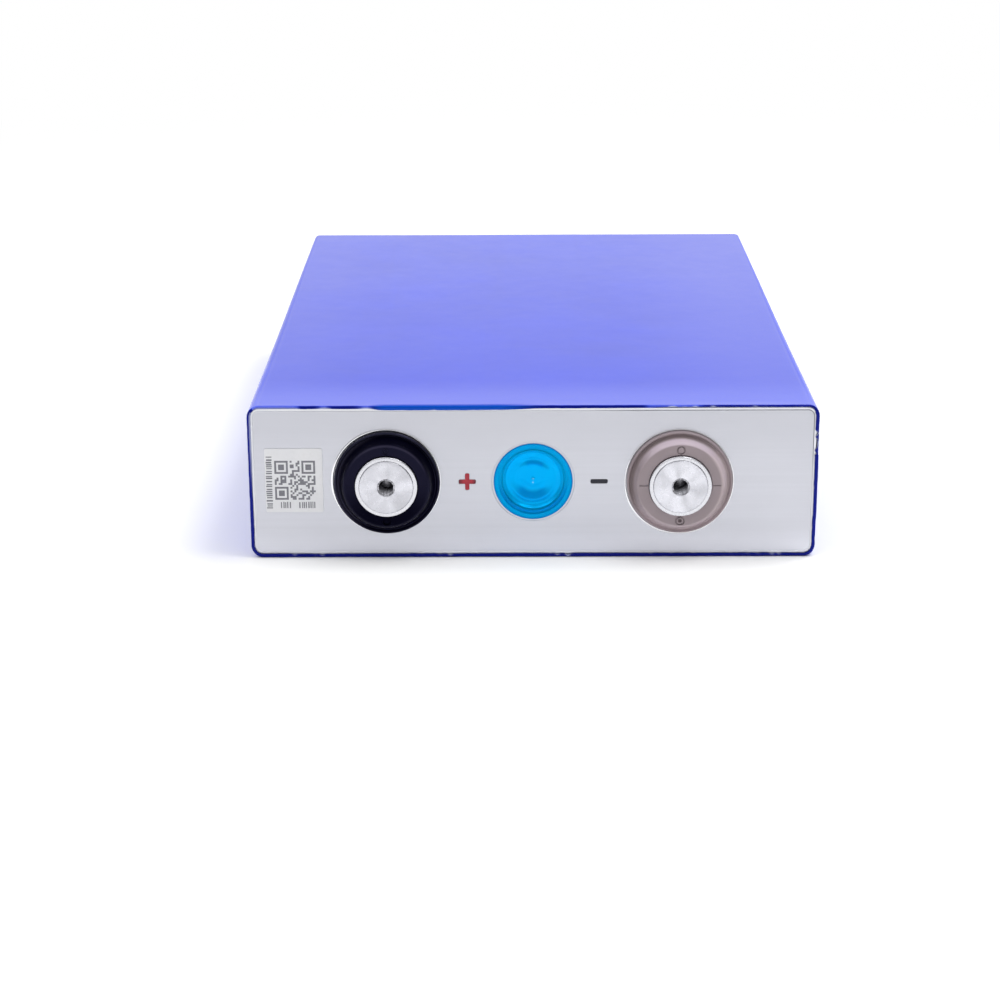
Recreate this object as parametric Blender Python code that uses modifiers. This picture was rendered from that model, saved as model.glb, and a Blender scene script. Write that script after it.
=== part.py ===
"""Prismatic lithium iron phosphate battery cell, lying on its broad face.

Axes: X is the cell's width, Y its length with the lid facing -Y, Z its thickness.
The origin is the centre of the lower broad face, on the resting plane. Units are metres.
Heights are measured outwards (-Y) from the lid's outer face, so pieces inside have
negative heights. "Front" is the -Y end and "base" the +Y end.
Run with: blender --background --python part.py
"""

import math

import bmesh
import bpy
from mathutils import Vector

# ------------------------------------------------------- driving dimensions
MM = 0.001

CELL_WIDTH = 130.3 * MM  # over the outer film
CELL_THICKNESS = 36.35 * MM  # over the outer film
CELL_LENGTH = 200.5 * MM  # terminal faces to base patch
TERMINAL_HEIGHT = 4.5 * MM  # terminal face above the lid
TERMINAL_PITCH = 67.0 * MM  # between the two terminal axes

GAP = 0.3 * MM  # clearance between neighbouring shells
FILM = 0.3 * MM
PATCH = 0.2 * MM
PATCH_GAP = 0.05 * MM  # film to base patch
END_RADIUS = 1.2 * MM  # base edges of the film and the can

CAN_WIDTH = CELL_WIDTH - 2 * (FILM + GAP)
CAN_THICKNESS = CELL_THICKNESS - 2 * (FILM + GAP)
CAN_WALL = 0.8 * MM
CAN_CORNER = 2.2 * MM

LID_PLATE = 2.0 * MM
LID_SPIGOT = 1.0 * MM

STEM_BORE_R = 5.0 * MM  # lid bore for a pole's stem
POLE_STEM_R = 4.0 * MM
POLE_FLANGE_R = 8.0 * MM
POLE_FACE_R = 6.1 * MM
HEAD_BOTTOM = 1.1 * MM  # underside of pole head and collar
COLLAR_R = 7.1 * MM
COLLAR_FLANGE_R = 9.0 * MM
COLLAR_FLANGE_TOP = 2.0 * MM
TURNED_FIT = 0.12 * MM  # radial clearance between turned pieces

VENT_FILM_R = 9.05 * MM
VENT_DISC_R = 8.0 * MM
FILL_X = -54.8 * MM

VISIBLE_STEPS = 48  # facets round a visible turned piece
HIDDEN_STEPS = 32
SMALL_STEPS = 24
PIT_STEPS = 16

# ------------------------------------------------------------ derived places
LID_Y = -CELL_LENGTH / 2 + TERMINAL_HEIGHT  # outer face of the lid
BASE_Y = CELL_LENGTH / 2  # outer face of the base patch
MID_Z = CELL_THICKNESS / 2
POS_X, NEG_X = -TERMINAL_PITCH / 2, TERMINAL_PITCH / 2
FILM_BASE_Y = BASE_Y - PATCH - PATCH_GAP
CAN_BASE_Y = FILM_BASE_Y - FILM - GAP
CAN_LOW_Z = (CELL_THICKNESS - CAN_THICKNESS) / 2

# Heights of the pieces stacked behind the lid.
STACK_GAP = 0.1 * MM
SEAL_FLANGE = 0.8 * MM
POLE_FLANGE = 1.2 * MM
COLLECTOR = 1.0 * MM
LID_BACK = -(LID_PLATE + LID_SPIGOT)
STACK_TOP = LID_BACK - STACK_GAP
SEAL_BOTTOM = STACK_TOP - SEAL_FLANGE
POLE_FLANGE_TOP = SEAL_BOTTOM - STACK_GAP
POLE_BOTTOM = POLE_FLANGE_TOP - POLE_FLANGE
COLLECTOR_TOP = POLE_BOTTOM - STACK_GAP
COLLECTOR_BOTTOM = COLLECTOR_TOP - COLLECTOR

# Heights between which the lid's turned cutters run, clear of both its faces.
CUT_TOP, CUT_BOTTOM = 2.0 * MM, -5.0 * MM

# -------------------------------------------------------------------- scene
for old in list(bpy.data.objects):
    bpy.data.objects.remove(old, do_unlink=True)

PARTS = bpy.data.collections.new("prismatic_battery_cell")
CUTTERS = bpy.data.collections.new("cutters")
bpy.context.scene.collection.children.link(PARTS)
bpy.context.scene.collection.children.link(CUTTERS)


def add_part(name, mesh, mat):
    obj = bpy.data.objects.new(name, mesh)
    obj.data.materials.append(mat)
    PARTS.objects.link(obj)
    return obj


def add_cutter(name, mesh):
    obj = bpy.data.objects.new(name, mesh)
    obj.hide_render = True
    obj.display_type = "WIRE"
    CUTTERS.objects.link(obj)
    return obj


# ---------------------------------------------------------------- materials
def material(name, colour, roughness, metallic=0.0, alpha=1.0):
    made = bpy.data.materials.new(name)
    made.use_nodes = True
    shader = made.node_tree.nodes["Principled BSDF"]
    shader.inputs["Base Color"].default_value = (*colour, 1.0)
    shader.inputs["Roughness"].default_value = roughness
    shader.inputs["Metallic"].default_value = metallic
    shader.inputs["Alpha"].default_value = alpha
    made.diffuse_color = (*colour, alpha)
    return made


def metal(name, colour, roughness):
    return material(name, colour, roughness, metallic=1.0)


blue_film = material("blue_film", colour=(0.02, 0.045, 0.72), roughness=0.12)
blue_patch = material("blue_patch", colour=(0.02, 0.05, 0.66), roughness=0.2)
vent_film_blue = material(
    "vent_film_blue", colour=(0.0, 0.42, 0.92), roughness=0.08, alpha=0.6
)
bag_film = material("bag_film", colour=(0.10, 0.22, 0.55), roughness=0.3)

lid_aluminium = metal("lid_aluminium", colour=(0.80, 0.81, 0.84), roughness=0.35)
can_aluminium = metal("can_aluminium", colour=(0.76, 0.77, 0.79), roughness=0.4)
terminal_aluminium = metal("terminal_aluminium", colour=(0.88, 0.88, 0.89), roughness=0.28)
collar_aluminium = metal("collar_aluminium", colour=(0.86, 0.86, 0.87), roughness=0.22)
vent_aluminium = metal("vent_aluminium", colour=(0.84, 0.84, 0.85), roughness=0.3)
foil_aluminium = metal("foil_aluminium", colour=(0.82, 0.82, 0.83), roughness=0.45)
foil_copper = metal("foil_copper", colour=(0.74, 0.36, 0.22), roughness=0.45)
copper = metal("copper", colour=(0.78, 0.38, 0.24), roughness=0.35)

black_plastic = material("black_plastic", colour=(0.012, 0.012, 0.022), roughness=0.42)
beige_plastic = material("beige_plastic", colour=(0.34, 0.28, 0.26), roughness=0.45)
insulator_plastic = material("insulator_plastic", colour=(0.10, 0.10, 0.11), roughness=0.5)
spacer_plastic = material("spacer_plastic", colour=(0.70, 0.70, 0.68), roughness=0.5)
seal_rubber = material("seal_rubber", colour=(0.03, 0.03, 0.03), roughness=0.7)
plug_rubber = material("plug_rubber", colour=(0.35, 0.05, 0.04), roughness=0.6)

label_paper = material("label_paper", colour=(0.78, 0.78, 0.76), roughness=0.5)
roll_coating = material("roll_coating", colour=(0.06, 0.06, 0.065), roughness=0.6)
red_ink = material("red_ink", colour=(0.40, 0.012, 0.03), roughness=0.45)
black_ink = material("black_ink", colour=(0.012, 0.012, 0.014), roughness=0.45)


# ------------------------------------------------------------------- places
def at(height):
    """Y of a height above the lid's outer face."""
    return LID_Y - height


def between(low, high):
    """(size, centre) of the box between two corners."""
    low, high = Vector(low), Vector(high)
    return high - low, (low + high) / 2


def centred(x, width, depth, top, bottom):
    """Corners of a box centred on x and mid-thickness, between two heights.

    width runs along X and depth along Z.
    """
    low = (x - width / 2, at(top), MID_Z - depth / 2)
    high = (x + width / 2, at(bottom), MID_Z + depth / 2)
    return low, high


# -------------------------------------------------------------------- boxes
def bevel(bm, edges, radius, segments):
    bmesh.ops.bevel(
        bm,
        geom=edges,
        offset=radius,
        offset_type="OFFSET",
        segments=segments,
        profile=0.5,  # circular
        affect="EDGES",
    )


def finish_mesh(name, bm):
    mesh = bpy.data.meshes.new(name)
    bm.to_mesh(mesh)
    bm.free()
    return mesh


def block_mesh(name, size, radius=0.0, segments=4, end_radius=0.0, open_front=False):
    """A box of the given size about its own centre, its edges along Y rounded.

    end_radius also rounds the edges of its +Y end, and open_front leaves out its -Y face.
    """
    bm = bmesh.new()
    bmesh.ops.create_cube(bm, size=1.0)
    bmesh.ops.scale(bm, vec=Vector(size), verts=bm.verts)
    if open_front:
        front = [f for f in bm.faces if f.normal.y < -0.5]
        bmesh.ops.delete(bm, geom=front, context="FACES_ONLY")
    if radius:
        long_edges = [
            e
            for e in bm.edges
            if abs((e.verts[0].co - e.verts[1].co).normalized().y) > 0.99
        ]
        bevel(bm, long_edges, radius, segments)
    if end_radius:
        base = max(v.co.y for v in bm.verts)
        end_edges = [
            e
            for e in bm.edges
            if all(abs(v.co.y - base) < 1e-7 for v in e.verts)
            and any(abs(f.normal.y) < 0.5 for f in e.link_faces)
        ]
        bevel(bm, end_edges, end_radius, segments=2)
    return finish_mesh(name, bm)


def slab(name, low, high, mat, radius=0.0, segments=4):
    size, centre = between(low, high)
    obj = add_part(name, block_mesh(name, size, radius, segments), mat)
    obj.location = centre
    return obj


def box_cutter(name, low, high, radius=0.0, segments=4):
    size, centre = between(low, high)
    obj = add_cutter(name, block_mesh(name, size, radius, segments))
    obj.location = centre
    return obj


def shell_part(name, low, high, mat, wall, radius, segments, end_radius):
    """A cup open at its -Y end: an open surface given its wall inwards."""
    size, centre = between(low, high)
    mesh = block_mesh(name, size, radius, segments, end_radius, open_front=True)
    obj = add_part(name, mesh, mat)
    obj.location = centre
    solid = obj.modifiers.new("wall", "SOLIDIFY")
    solid.thickness = wall
    solid.offset = -1.0
    solid.use_even_offset = True
    solid.use_quality_normals = True


# ------------------------------------------------------------ turned pieces
# A profile is a list of (radius, height above the lid face).
def in_mm(points):
    """A profile given in millimetres."""
    return [(radius * MM, height * MM) for radius, height in points]


def cylinder(radius, top, bottom):
    """Profile of a plain cylinder."""
    return [(0.0, top), (radius, top), (radius, bottom), (0.0, bottom)]


def turned_mesh(name, profile, closed=False):
    """The profile as a wire, joined end to start when closed."""
    mesh = bpy.data.meshes.new(name)
    count = len(profile)
    edges = [(i, i + 1) for i in range(count - 1)]
    if closed:
        edges.append((count - 1, 0))
    mesh.from_pydata([(r, 0.0, h) for r, h in profile], edges, [])
    return mesh


def turn(obj, x, steps, z=MID_Z):
    """Screws the profile into a solid about an axis that leaves the lid at x, along -Y."""
    screw = obj.modifiers.new("turn", "SCREW")
    screw.axis = "Z"
    screw.angle = math.tau
    screw.steps = steps
    screw.render_steps = steps
    screw.use_merge_vertices = True
    screw.merge_threshold = 0.00001
    screw.use_smooth_shade = True
    obj.rotation_euler = (math.pi / 2, 0.0, 0.0)
    obj.location = (x, LID_Y, z)
    return obj


def turned_part(name, profile, x, mat, steps=VISIBLE_STEPS, closed=False):
    return turn(add_part(name, turned_mesh(name, profile, closed), mat), x, steps)


def turned_cutter(name, profile, x, z=MID_Z, steps=VISIBLE_STEPS):
    return turn(add_cutter(name, turned_mesh(name, profile)), x, steps, z)


def cut(obj, cutter, operation="DIFFERENCE"):
    modifier = obj.modifiers.new(cutter.name, "BOOLEAN")
    modifier.operation = operation
    modifier.solver = "EXACT"
    modifier.object = cutter


# ------------------------------------------------------ film, patch and can
FILM_LIP = 0.7 * MM  # film edge standing proud of the lid
FILM_CORNER = 2.8 * MM
PATCH_INSET = 2.4 * MM  # from the film's sides


def outer_film():
    shell_part(
        "outer_film",
        (-CELL_WIDTH / 2, at(FILM_LIP), 0.0),
        (CELL_WIDTH / 2, FILM_BASE_Y, CELL_THICKNESS),
        blue_film,
        wall=FILM,
        radius=FILM_CORNER,
        segments=5,
        end_radius=END_RADIUS,
    )


def base_patch():
    slab(
        "base_patch",
        (-CELL_WIDTH / 2 + PATCH_INSET, BASE_Y - PATCH, PATCH_INSET),
        (CELL_WIDTH / 2 - PATCH_INSET, BASE_Y, CELL_THICKNESS - PATCH_INSET),
        blue_patch,
        radius=1.5 * MM,
        segments=3,
    )


def can():
    shell_part(
        "can",
        (-CAN_WIDTH / 2, at(-LID_PLATE) + GAP, CAN_LOW_Z),
        (CAN_WIDTH / 2, CAN_BASE_Y, CAN_LOW_Z + CAN_THICKNESS),
        can_aluminium,
        wall=CAN_WALL,
        radius=CAN_CORNER,
        segments=5,
        end_radius=END_RADIUS,
    )


outer_film()
base_patch()
can()

# ---------------------------------------------------------------- lid plate
SPIGOT_INSET = CAN_WALL + 0.15 * MM  # can wall and a clearance
SPIGOT_CORNER = CAN_CORNER - 0.7 * MM
RING_RECESS_R = 12.6 * MM
RING_RECESS_DEPTH = 0.4 * MM

VENT_R = 7.15 * MM
VENT_CHAMFER = 0.45 * MM
VENT_SEAT_R = VENT_FILM_R + 0.45 * MM
VENT_SEAT_DEPTH = 0.15 * MM
DISC_SEAT_R = VENT_DISC_R + 0.3 * MM
DISC_SEAT_TOP = -2.2 * MM

FILL_RECESS_R = 3.6 * MM
FILL_RECESS_DEPTH = 0.75 * MM
FILL_BORE_R = 1.6 * MM


def lid_plate():
    lid = slab(
        "lid_plate",
        (-CAN_WIDTH / 2, at(0.0), CAN_LOW_Z),
        (CAN_WIDTH / 2, at(-LID_PLATE), CAN_LOW_Z + CAN_THICKNESS),
        lid_aluminium,
        radius=CAN_CORNER,
        segments=5,
    )
    # The spigot starts inside the plate so that the two join cleanly.
    spigot = box_cutter(
        "lid_spigot",
        (-CAN_WIDTH / 2 + SPIGOT_INSET, at(-LID_PLATE / 2), CAN_LOW_Z + SPIGOT_INSET),
        (
            CAN_WIDTH / 2 - SPIGOT_INSET,
            at(LID_BACK),
            CAN_LOW_Z + CAN_THICKNESS - SPIGOT_INSET,
        ),
        radius=SPIGOT_CORNER,
    )
    cut(lid, spigot, "UNION")
    return lid


def cut_terminal_seat(lid, side, x):
    """A shallow recess for the plastic ring over the stem bore."""
    profile = [
        (0.0, CUT_TOP),
        (RING_RECESS_R, CUT_TOP),
        (RING_RECESS_R, -RING_RECESS_DEPTH),
        (STEM_BORE_R, -RING_RECESS_DEPTH),
        (STEM_BORE_R, CUT_BOTTOM),
        (0.0, CUT_BOTTOM),
    ]
    cut(lid, turned_cutter(side + "_seat", profile, x))


def cut_vent_opening(lid):
    """Seat of the cover film, chamfered throat, and the disc's seat behind."""
    profile = [
        (0.0, CUT_TOP),
        (VENT_SEAT_R, CUT_TOP),
        (VENT_SEAT_R, -VENT_SEAT_DEPTH),
        (VENT_R + VENT_CHAMFER, -VENT_SEAT_DEPTH),
        (VENT_R, -VENT_SEAT_DEPTH - VENT_CHAMFER),
        (VENT_R, DISC_SEAT_TOP),
        (DISC_SEAT_R, DISC_SEAT_TOP),
        (DISC_SEAT_R, CUT_BOTTOM),
        (0.0, CUT_BOTTOM),
    ]
    cut(lid, turned_cutter("vent_opening", profile, 0.0))


def cut_fill_port(lid):
    """Electrolyte fill port under the label."""
    profile = [
        (0.0, CUT_TOP),
        (FILL_RECESS_R, CUT_TOP),
        (FILL_RECESS_R, -FILL_RECESS_DEPTH),
        (FILL_BORE_R, -FILL_RECESS_DEPTH),
        (FILL_BORE_R, CUT_BOTTOM),
        (0.0, CUT_BOTTOM),
    ]
    cut(lid, turned_cutter("fill_port", profile, FILL_X, steps=HIDDEN_STEPS))


lid = lid_plate()
cut_terminal_seat(lid, "positive", POS_X)
cut_terminal_seat(lid, "negative", NEG_X)
cut_vent_opening(lid)
cut_fill_port(lid)

# ----------------------------------------------------------- polarity marks
MARK_X = 15.1 * MM
MARK_LENGTH, MARK_STROKE = 3.95 * MM, 1.0 * MM
MARK_TOP, MARK_FLOOR = 1.0 * MM, -0.1 * MM  # heights of the pocket's cutter
MINUS_RADIUS = 0.4 * MM

INK_MARGIN = 0.16 * MM  # pocket size less ink size
INK_LENGTH, INK_STROKE = MARK_LENGTH - INK_MARGIN, MARK_STROKE - INK_MARGIN
INK_TOP, INK_BOTTOM = 0.04 * MM, -0.05 * MM
MINUS_INK_RADIUS = 0.34 * MM


def cut_mark_pockets(lid):
    """Pockets sunk a little into the lid, the plus beside the positive terminal."""
    for name, x, width, depth, radius in (
        ("plus_across", -MARK_X, MARK_LENGTH, MARK_STROKE, 0.0),
        ("plus_upright", -MARK_X, MARK_STROKE, MARK_LENGTH, 0.0),
        ("minus_across", MARK_X, MARK_LENGTH, MARK_STROKE, MINUS_RADIUS),
    ):
        corners = centred(x, width, depth, MARK_TOP, MARK_FLOOR)
        cut(lid, box_cutter(name, *corners, radius=radius, segments=3))


def plus_ink():
    """Ink clear of the pocket's floor and walls."""
    across = centred(-MARK_X, INK_LENGTH, INK_STROKE, INK_TOP, INK_BOTTOM)
    upright = centred(-MARK_X, INK_STROKE, INK_LENGTH, INK_TOP, INK_BOTTOM)
    plus = slab("plus_mark", *across, red_ink)
    cut(plus, box_cutter("plus_ink_upright", *upright), "UNION")


def minus_ink():
    corners = centred(MARK_X, INK_LENGTH, INK_STROKE, INK_TOP, INK_BOTTOM)
    slab("minus_mark", *corners, black_ink, radius=MINUS_INK_RADIUS, segments=3)


cut_mark_pockets(lid)
plus_ink()
minus_ink()

# ---------------------------------------------------- vent, fill port, label
VENT_FILM_TOP, VENT_FILM_BOTTOM = 0.05 * MM, -0.10 * MM
VENT_DISC_PROFILE = in_mm([
    # outward face: centre, scored ring at radius 5, flat rim
    (0.0, -2.75), (0.5, -2.65), (1.0, -2.8), (3.0, -2.75),
    (4.8, -2.6), (5.0, -2.72), (5.2, -2.58), (6.2, -2.42), (6.8, -2.3),
])
VENT_DISC_PROFILE += [(VENT_DISC_R, -2.3 * MM), (VENT_DISC_R, -2.75 * MM)]
# inward face, back to the centre
VENT_DISC_PROFILE += in_mm([(6.6, -2.75), (5.0, -2.9), (3.0, -3.0), (0.0, -3.05)])

FILL_CAP_PROFILE = in_mm(
    [(0.0, -0.05), (3.3, -0.05), (3.45, -0.2), (3.45, -0.65), (0.0, -0.65)]
)
FILL_PLUG_PROFILE = in_mm([
    (0.0, -0.85), (0.9, -0.9), (1.3, -1.15), (1.45, -1.7),
    (1.3, -2.25), (0.9, -2.5), (0.0, -2.6),
])

LABEL_WIDTH, LABEL_DEPTH = 13.2 * MM, 15.2 * MM
LABEL_TOP, LABEL_BOTTOM = 0.18 * MM, 0.05 * MM

vent_film_profile = cylinder(VENT_FILM_R, VENT_FILM_TOP, VENT_FILM_BOTTOM)
turned_part("vent_cover_film", vent_film_profile, 0.0, vent_film_blue)
# Burst disc: a flat rim, a dished membrane and a scored ring where it tears.
turned_part("vent_disc", VENT_DISC_PROFILE, 0.0, vent_aluminium)
turned_part("fill_cap", FILL_CAP_PROFILE, FILL_X, can_aluminium, HIDDEN_STEPS)
turned_part("fill_plug", FILL_PLUG_PROFILE, FILL_X, plug_rubber, SMALL_STEPS)

label_corners = centred(FILL_X, LABEL_WIDTH, LABEL_DEPTH, LABEL_TOP, LABEL_BOTTOM)
slab("data_label", *label_corners, label_paper, radius=0.3 * MM, segments=2)

# ------------------------------------------------------------ terminal rings
RING_R = 12.1 * MM
RING_TOP = 3.55 * MM
RING_BOTTOM = -0.3 * MM
POCKET_FLOOR = 1.0 * MM  # of the ring's pocket for the collar flange
POCKET_TOP = COLLAR_FLANGE_TOP + TURNED_FIT
POCKET_R = COLLAR_FLANGE_R + TURNED_FIT
RING_BORE_R = COLLAR_R + TURNED_FIT
PIT_OFFSET = 8.45 * MM  # from the ring's axis, along Z
PIT_CUT_ABOVE = 1.0 * MM  # pit cutter above the ring


def terminal_ring(name, x, mat, pits):
    """Moulded ring: outer lip, groove, raised hub, and a pocket that holds the collar's flange.

    pits lists the (Z offset, radius, depth) of the round pits in its top.
    """
    profile = [
        (RING_BORE_R, RING_TOP),
        (9.35 * MM, RING_TOP),
        (9.7 * MM, RING_TOP - 0.1 * MM),
        (9.95 * MM, RING_TOP - 0.4 * MM),
    ]
    # hub side, groove and outer lip
    profile += in_mm([
        (10.1, 2.5), (10.35, 1.5), (10.6, 1.1), (10.85, 1.0),
        (11.2, 1.15), (11.55, 1.32), (11.9, 1.25),
    ])
    profile += [
        (RING_R, 0.95 * MM),
        (RING_R, RING_BOTTOM),
        (STEM_BORE_R, RING_BOTTOM),
        (STEM_BORE_R, POCKET_FLOOR),
        (POCKET_R, POCKET_FLOOR),
        (POCKET_R, POCKET_TOP),
        (RING_BORE_R, POCKET_TOP),
    ]
    ring = turned_part(name, profile, x, mat, closed=True)
    for number, (offset, radius, depth) in enumerate(pits):
        pit = cylinder(radius, RING_TOP + PIT_CUT_ABOVE, RING_TOP - depth)
        pit_name = f"{name}_pit_{number}"
        cut(ring, turned_cutter(pit_name, pit, x, MID_Z + offset, PIT_STEPS))


terminal_ring(
    "positive_ring",
    POS_X,
    black_plastic,
    pits=[(PIT_OFFSET, 0.45 * MM, 0.35 * MM), (-PIT_OFFSET, 0.95 * MM, 0.6 * MM)],
)
terminal_ring(
    "negative_ring",
    NEG_X,
    beige_plastic,
    pits=[(PIT_OFFSET, 0.95 * MM, 0.25 * MM), (-PIT_OFFSET, 1.1 * MM, 0.4 * MM)],
)

# ------------------------------------------------- collars, poles and seals
COLLAR_TOP = 4.2 * MM
COLLAR_CHAMFER = 0.2 * MM
COLLAR_BORE_R = POLE_FACE_R + TURNED_FIT

THREAD_BORE_R = 1.75 * MM  # M4 tapped hole, drawn plain
THREAD_DEPTH = 5.5 * MM
THREAD_BOTTOM = TERMINAL_HEIGHT - THREAD_DEPTH
BORE_CHAMFER = 0.25 * MM
POLE_CHAMFER = 0.15 * MM
JOINT_TOP, JOINT_BOTTOM = -2.0 * MM, -2.1 * MM  # aluminium to copper in the negative pole

SEAL_TOP = 0.95 * MM
SEAL_FLANGE_R = 7.0 * MM


def collar(name, x):
    profile = [
        (COLLAR_BORE_R, COLLAR_TOP),
        (COLLAR_R - COLLAR_CHAMFER, COLLAR_TOP),
        (COLLAR_R, COLLAR_TOP - COLLAR_CHAMFER),
        (COLLAR_R, COLLAR_FLANGE_TOP),
        (COLLAR_FLANGE_R, COLLAR_FLANGE_TOP),
        (COLLAR_FLANGE_R, HEAD_BOTTOM),
        (COLLAR_BORE_R, HEAD_BOTTOM),
    ]
    turned_part(name, profile, x, collar_aluminium, closed=True)


def poles():
    """The positive pole is one piece; the negative has an aluminium top on a copper base."""
    head = [
        (0.0, THREAD_BOTTOM),
        (THREAD_BORE_R, THREAD_BOTTOM),
        (THREAD_BORE_R, TERMINAL_HEIGHT - BORE_CHAMFER),
        (THREAD_BORE_R + BORE_CHAMFER, TERMINAL_HEIGHT),
        (POLE_FACE_R - POLE_CHAMFER, TERMINAL_HEIGHT),
        (POLE_FACE_R, TERMINAL_HEIGHT - POLE_CHAMFER),
        (POLE_FACE_R, HEAD_BOTTOM),
        (POLE_STEM_R, HEAD_BOTTOM),
    ]
    flange = [
        (POLE_STEM_R, POLE_FLANGE_TOP),
        (POLE_FLANGE_R, POLE_FLANGE_TOP),
        (POLE_FLANGE_R, POLE_BOTTOM),
        (0.0, POLE_BOTTOM),
    ]
    top_end = [(POLE_STEM_R, JOINT_TOP), (0.0, JOINT_TOP)]
    base_start = [(0.0, JOINT_BOTTOM), (POLE_STEM_R, JOINT_BOTTOM)]
    turned_part("positive_pole", head + flange, POS_X, terminal_aluminium)
    turned_part("negative_pole_top", head + top_end, NEG_X, terminal_aluminium)
    turned_part("negative_pole_base", base_start + flange, NEG_X, copper)


def seal(name, x):
    """Sleeve round the stem with a flange clamped between the pole and the lid."""
    inner_radius = POLE_STEM_R + TURNED_FIT
    sleeve_radius = STEM_BORE_R - TURNED_FIT
    profile = [
        (inner_radius, SEAL_TOP),
        (sleeve_radius, SEAL_TOP),
        (sleeve_radius, STACK_TOP),
        (SEAL_FLANGE_R, STACK_TOP),
        (SEAL_FLANGE_R, SEAL_BOTTOM),
        (inner_radius, SEAL_BOTTOM),
    ]
    turned_part(name, profile, x, seal_rubber, HIDDEN_STEPS, closed=True)


collar("positive_collar", POS_X)
collar("negative_collar", NEG_X)
poles()
seal("positive_seal", POS_X)
seal("negative_seal", NEG_X)

# --------------------------------------------------------- lower insulators
INSULATOR = 1.6 * MM  # thickness along Y
INSULATOR_INNER_X, INSULATOR_OUTER_X = 0.4 * MM, 62.4 * MM
INSULATOR_INSET = 3.0 * MM  # from the cell's broad faces
INSULATOR_BORE_R = POLE_FLANGE_R + 0.3 * MM
INSULATOR_CUT_BOTTOM = -8.0 * MM
SLOT_COUNT = 3
SLOT_START, SLOT_PITCH = 2.2 * MM, 2.0 * MM  # first slot from mid-width, and spacing
SLOT_WIDTH, SLOT_LENGTH = 1.0 * MM, 11.0 * MM  # along X and Z


def lower_insulator(name, side, x):
    """Plate behind half of the lid; side is -1 or 1 along X."""
    low_x, high_x = sorted((side * INSULATOR_INNER_X, side * INSULATOR_OUTER_X))
    plate = slab(
        name,
        (low_x, at(STACK_TOP), INSULATOR_INSET),
        (high_x, at(STACK_TOP - INSULATOR), CELL_THICKNESS - INSULATOR_INSET),
        insulator_plastic,
        radius=1.0 * MM,
        segments=2,
    )
    bore = cylinder(INSULATOR_BORE_R, 0.0, INSULATOR_CUT_BOTTOM)
    cut(plate, turned_cutter(name + "_bore", bore, x, steps=HIDDEN_STEPS))
    for number in range(SLOT_COUNT):
        slot_x = side * (SLOT_START + SLOT_PITCH * number)
        corners = centred(slot_x, SLOT_WIDTH, SLOT_LENGTH, 0.0, INSULATOR_CUT_BOTTOM)
        cut(plate, box_cutter(f"{name}_slot_{number}", *corners))


lower_insulator("lower_insulator_positive", -1, POS_X)
lower_insulator("lower_insulator_negative", 1, NEG_X)

# --------------------------------------------------------------- collectors
COLLECTOR_WIDTH, COLLECTOR_DEPTH = 40.0 * MM, 22.0 * MM  # along X and Z
WELD_WELL_R = 5.0 * MM
WELD_WELL_DEPTH = 0.4 * MM
WELD_CUT_BELOW = 2.0 * MM  # well cutter past the collector's inward face


def collector(name, x, mat):
    """Plate behind the pole, thinned round the weld from its inward face."""
    corners = centred(x, COLLECTOR_WIDTH, COLLECTOR_DEPTH, COLLECTOR_TOP, COLLECTOR_BOTTOM)
    plate = slab(name, *corners, mat, radius=2.0 * MM, segments=3)
    well = cylinder(
        WELD_WELL_R,
        COLLECTOR_BOTTOM + WELD_WELL_DEPTH,
        COLLECTOR_BOTTOM - WELD_CUT_BELOW,
    )
    cut(plate, turned_cutter(name + "_weld_well", well, x, steps=SMALL_STEPS))


collector("positive_collector", POS_X, foil_aluminium)
collector("negative_collector", NEG_X, copper)

# --------------------------------------------- tab stacks, bag, spacer, rolls
BAG = 0.2 * MM
BAG_TOP = -12.5 * MM
BAG_HALF_X = CAN_WIDTH / 2 - CAN_WALL - GAP
BAG_BASE_Y = CAN_BASE_Y - CAN_WALL - GAP
BAG_INNER_LOW_Z = CAN_LOW_Z + CAN_WALL + GAP + BAG
BAG_INNER_HIGH_Z = CELL_THICKNESS - BAG_INNER_LOW_Z

SPACER = 1.0 * MM
SPACER_INSET_X, SPACER_INSET_Z = 1.2 * MM, 1.0 * MM
SPACER_BASE_Y = BAG_BASE_Y - BAG - 0.1 * MM

ROLL_TOP = -14.0 * MM
ROLL_GAP = 0.3 * MM  # round and between the rolls
ROLL_SIDE_GAP = 0.5 * MM  # to the bag, along X
ROLL_THICKNESS = (BAG_INNER_HIGH_Z - BAG_INNER_LOW_Z - 3 * ROLL_GAP) / 2
ROLL_CORNER = ROLL_THICKNESS / 2 - 0.05 * MM
ROLL_A_Z = BAG_INNER_LOW_Z + ROLL_GAP + ROLL_THICKNESS / 2
ROLLS = (("a", ROLL_A_Z), ("b", CELL_THICKNESS - ROLL_A_Z))  # letter, centre Z

TAB = 0.8 * MM
TAB_WIDTH = 30.0 * MM
TAB_BEND = 1.6 * MM  # bend radius of the mid-surface
TAB_BEND_STEPS = 4
TAB_ROOT = ROLL_TOP + 0.3 * MM
TAB_FLAT = COLLECTOR_BOTTOM - STACK_GAP - TAB / 2  # mid-surface of the folded part
TAB_END_GAP = 0.8 * MM  # tab end to mid-thickness


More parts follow.
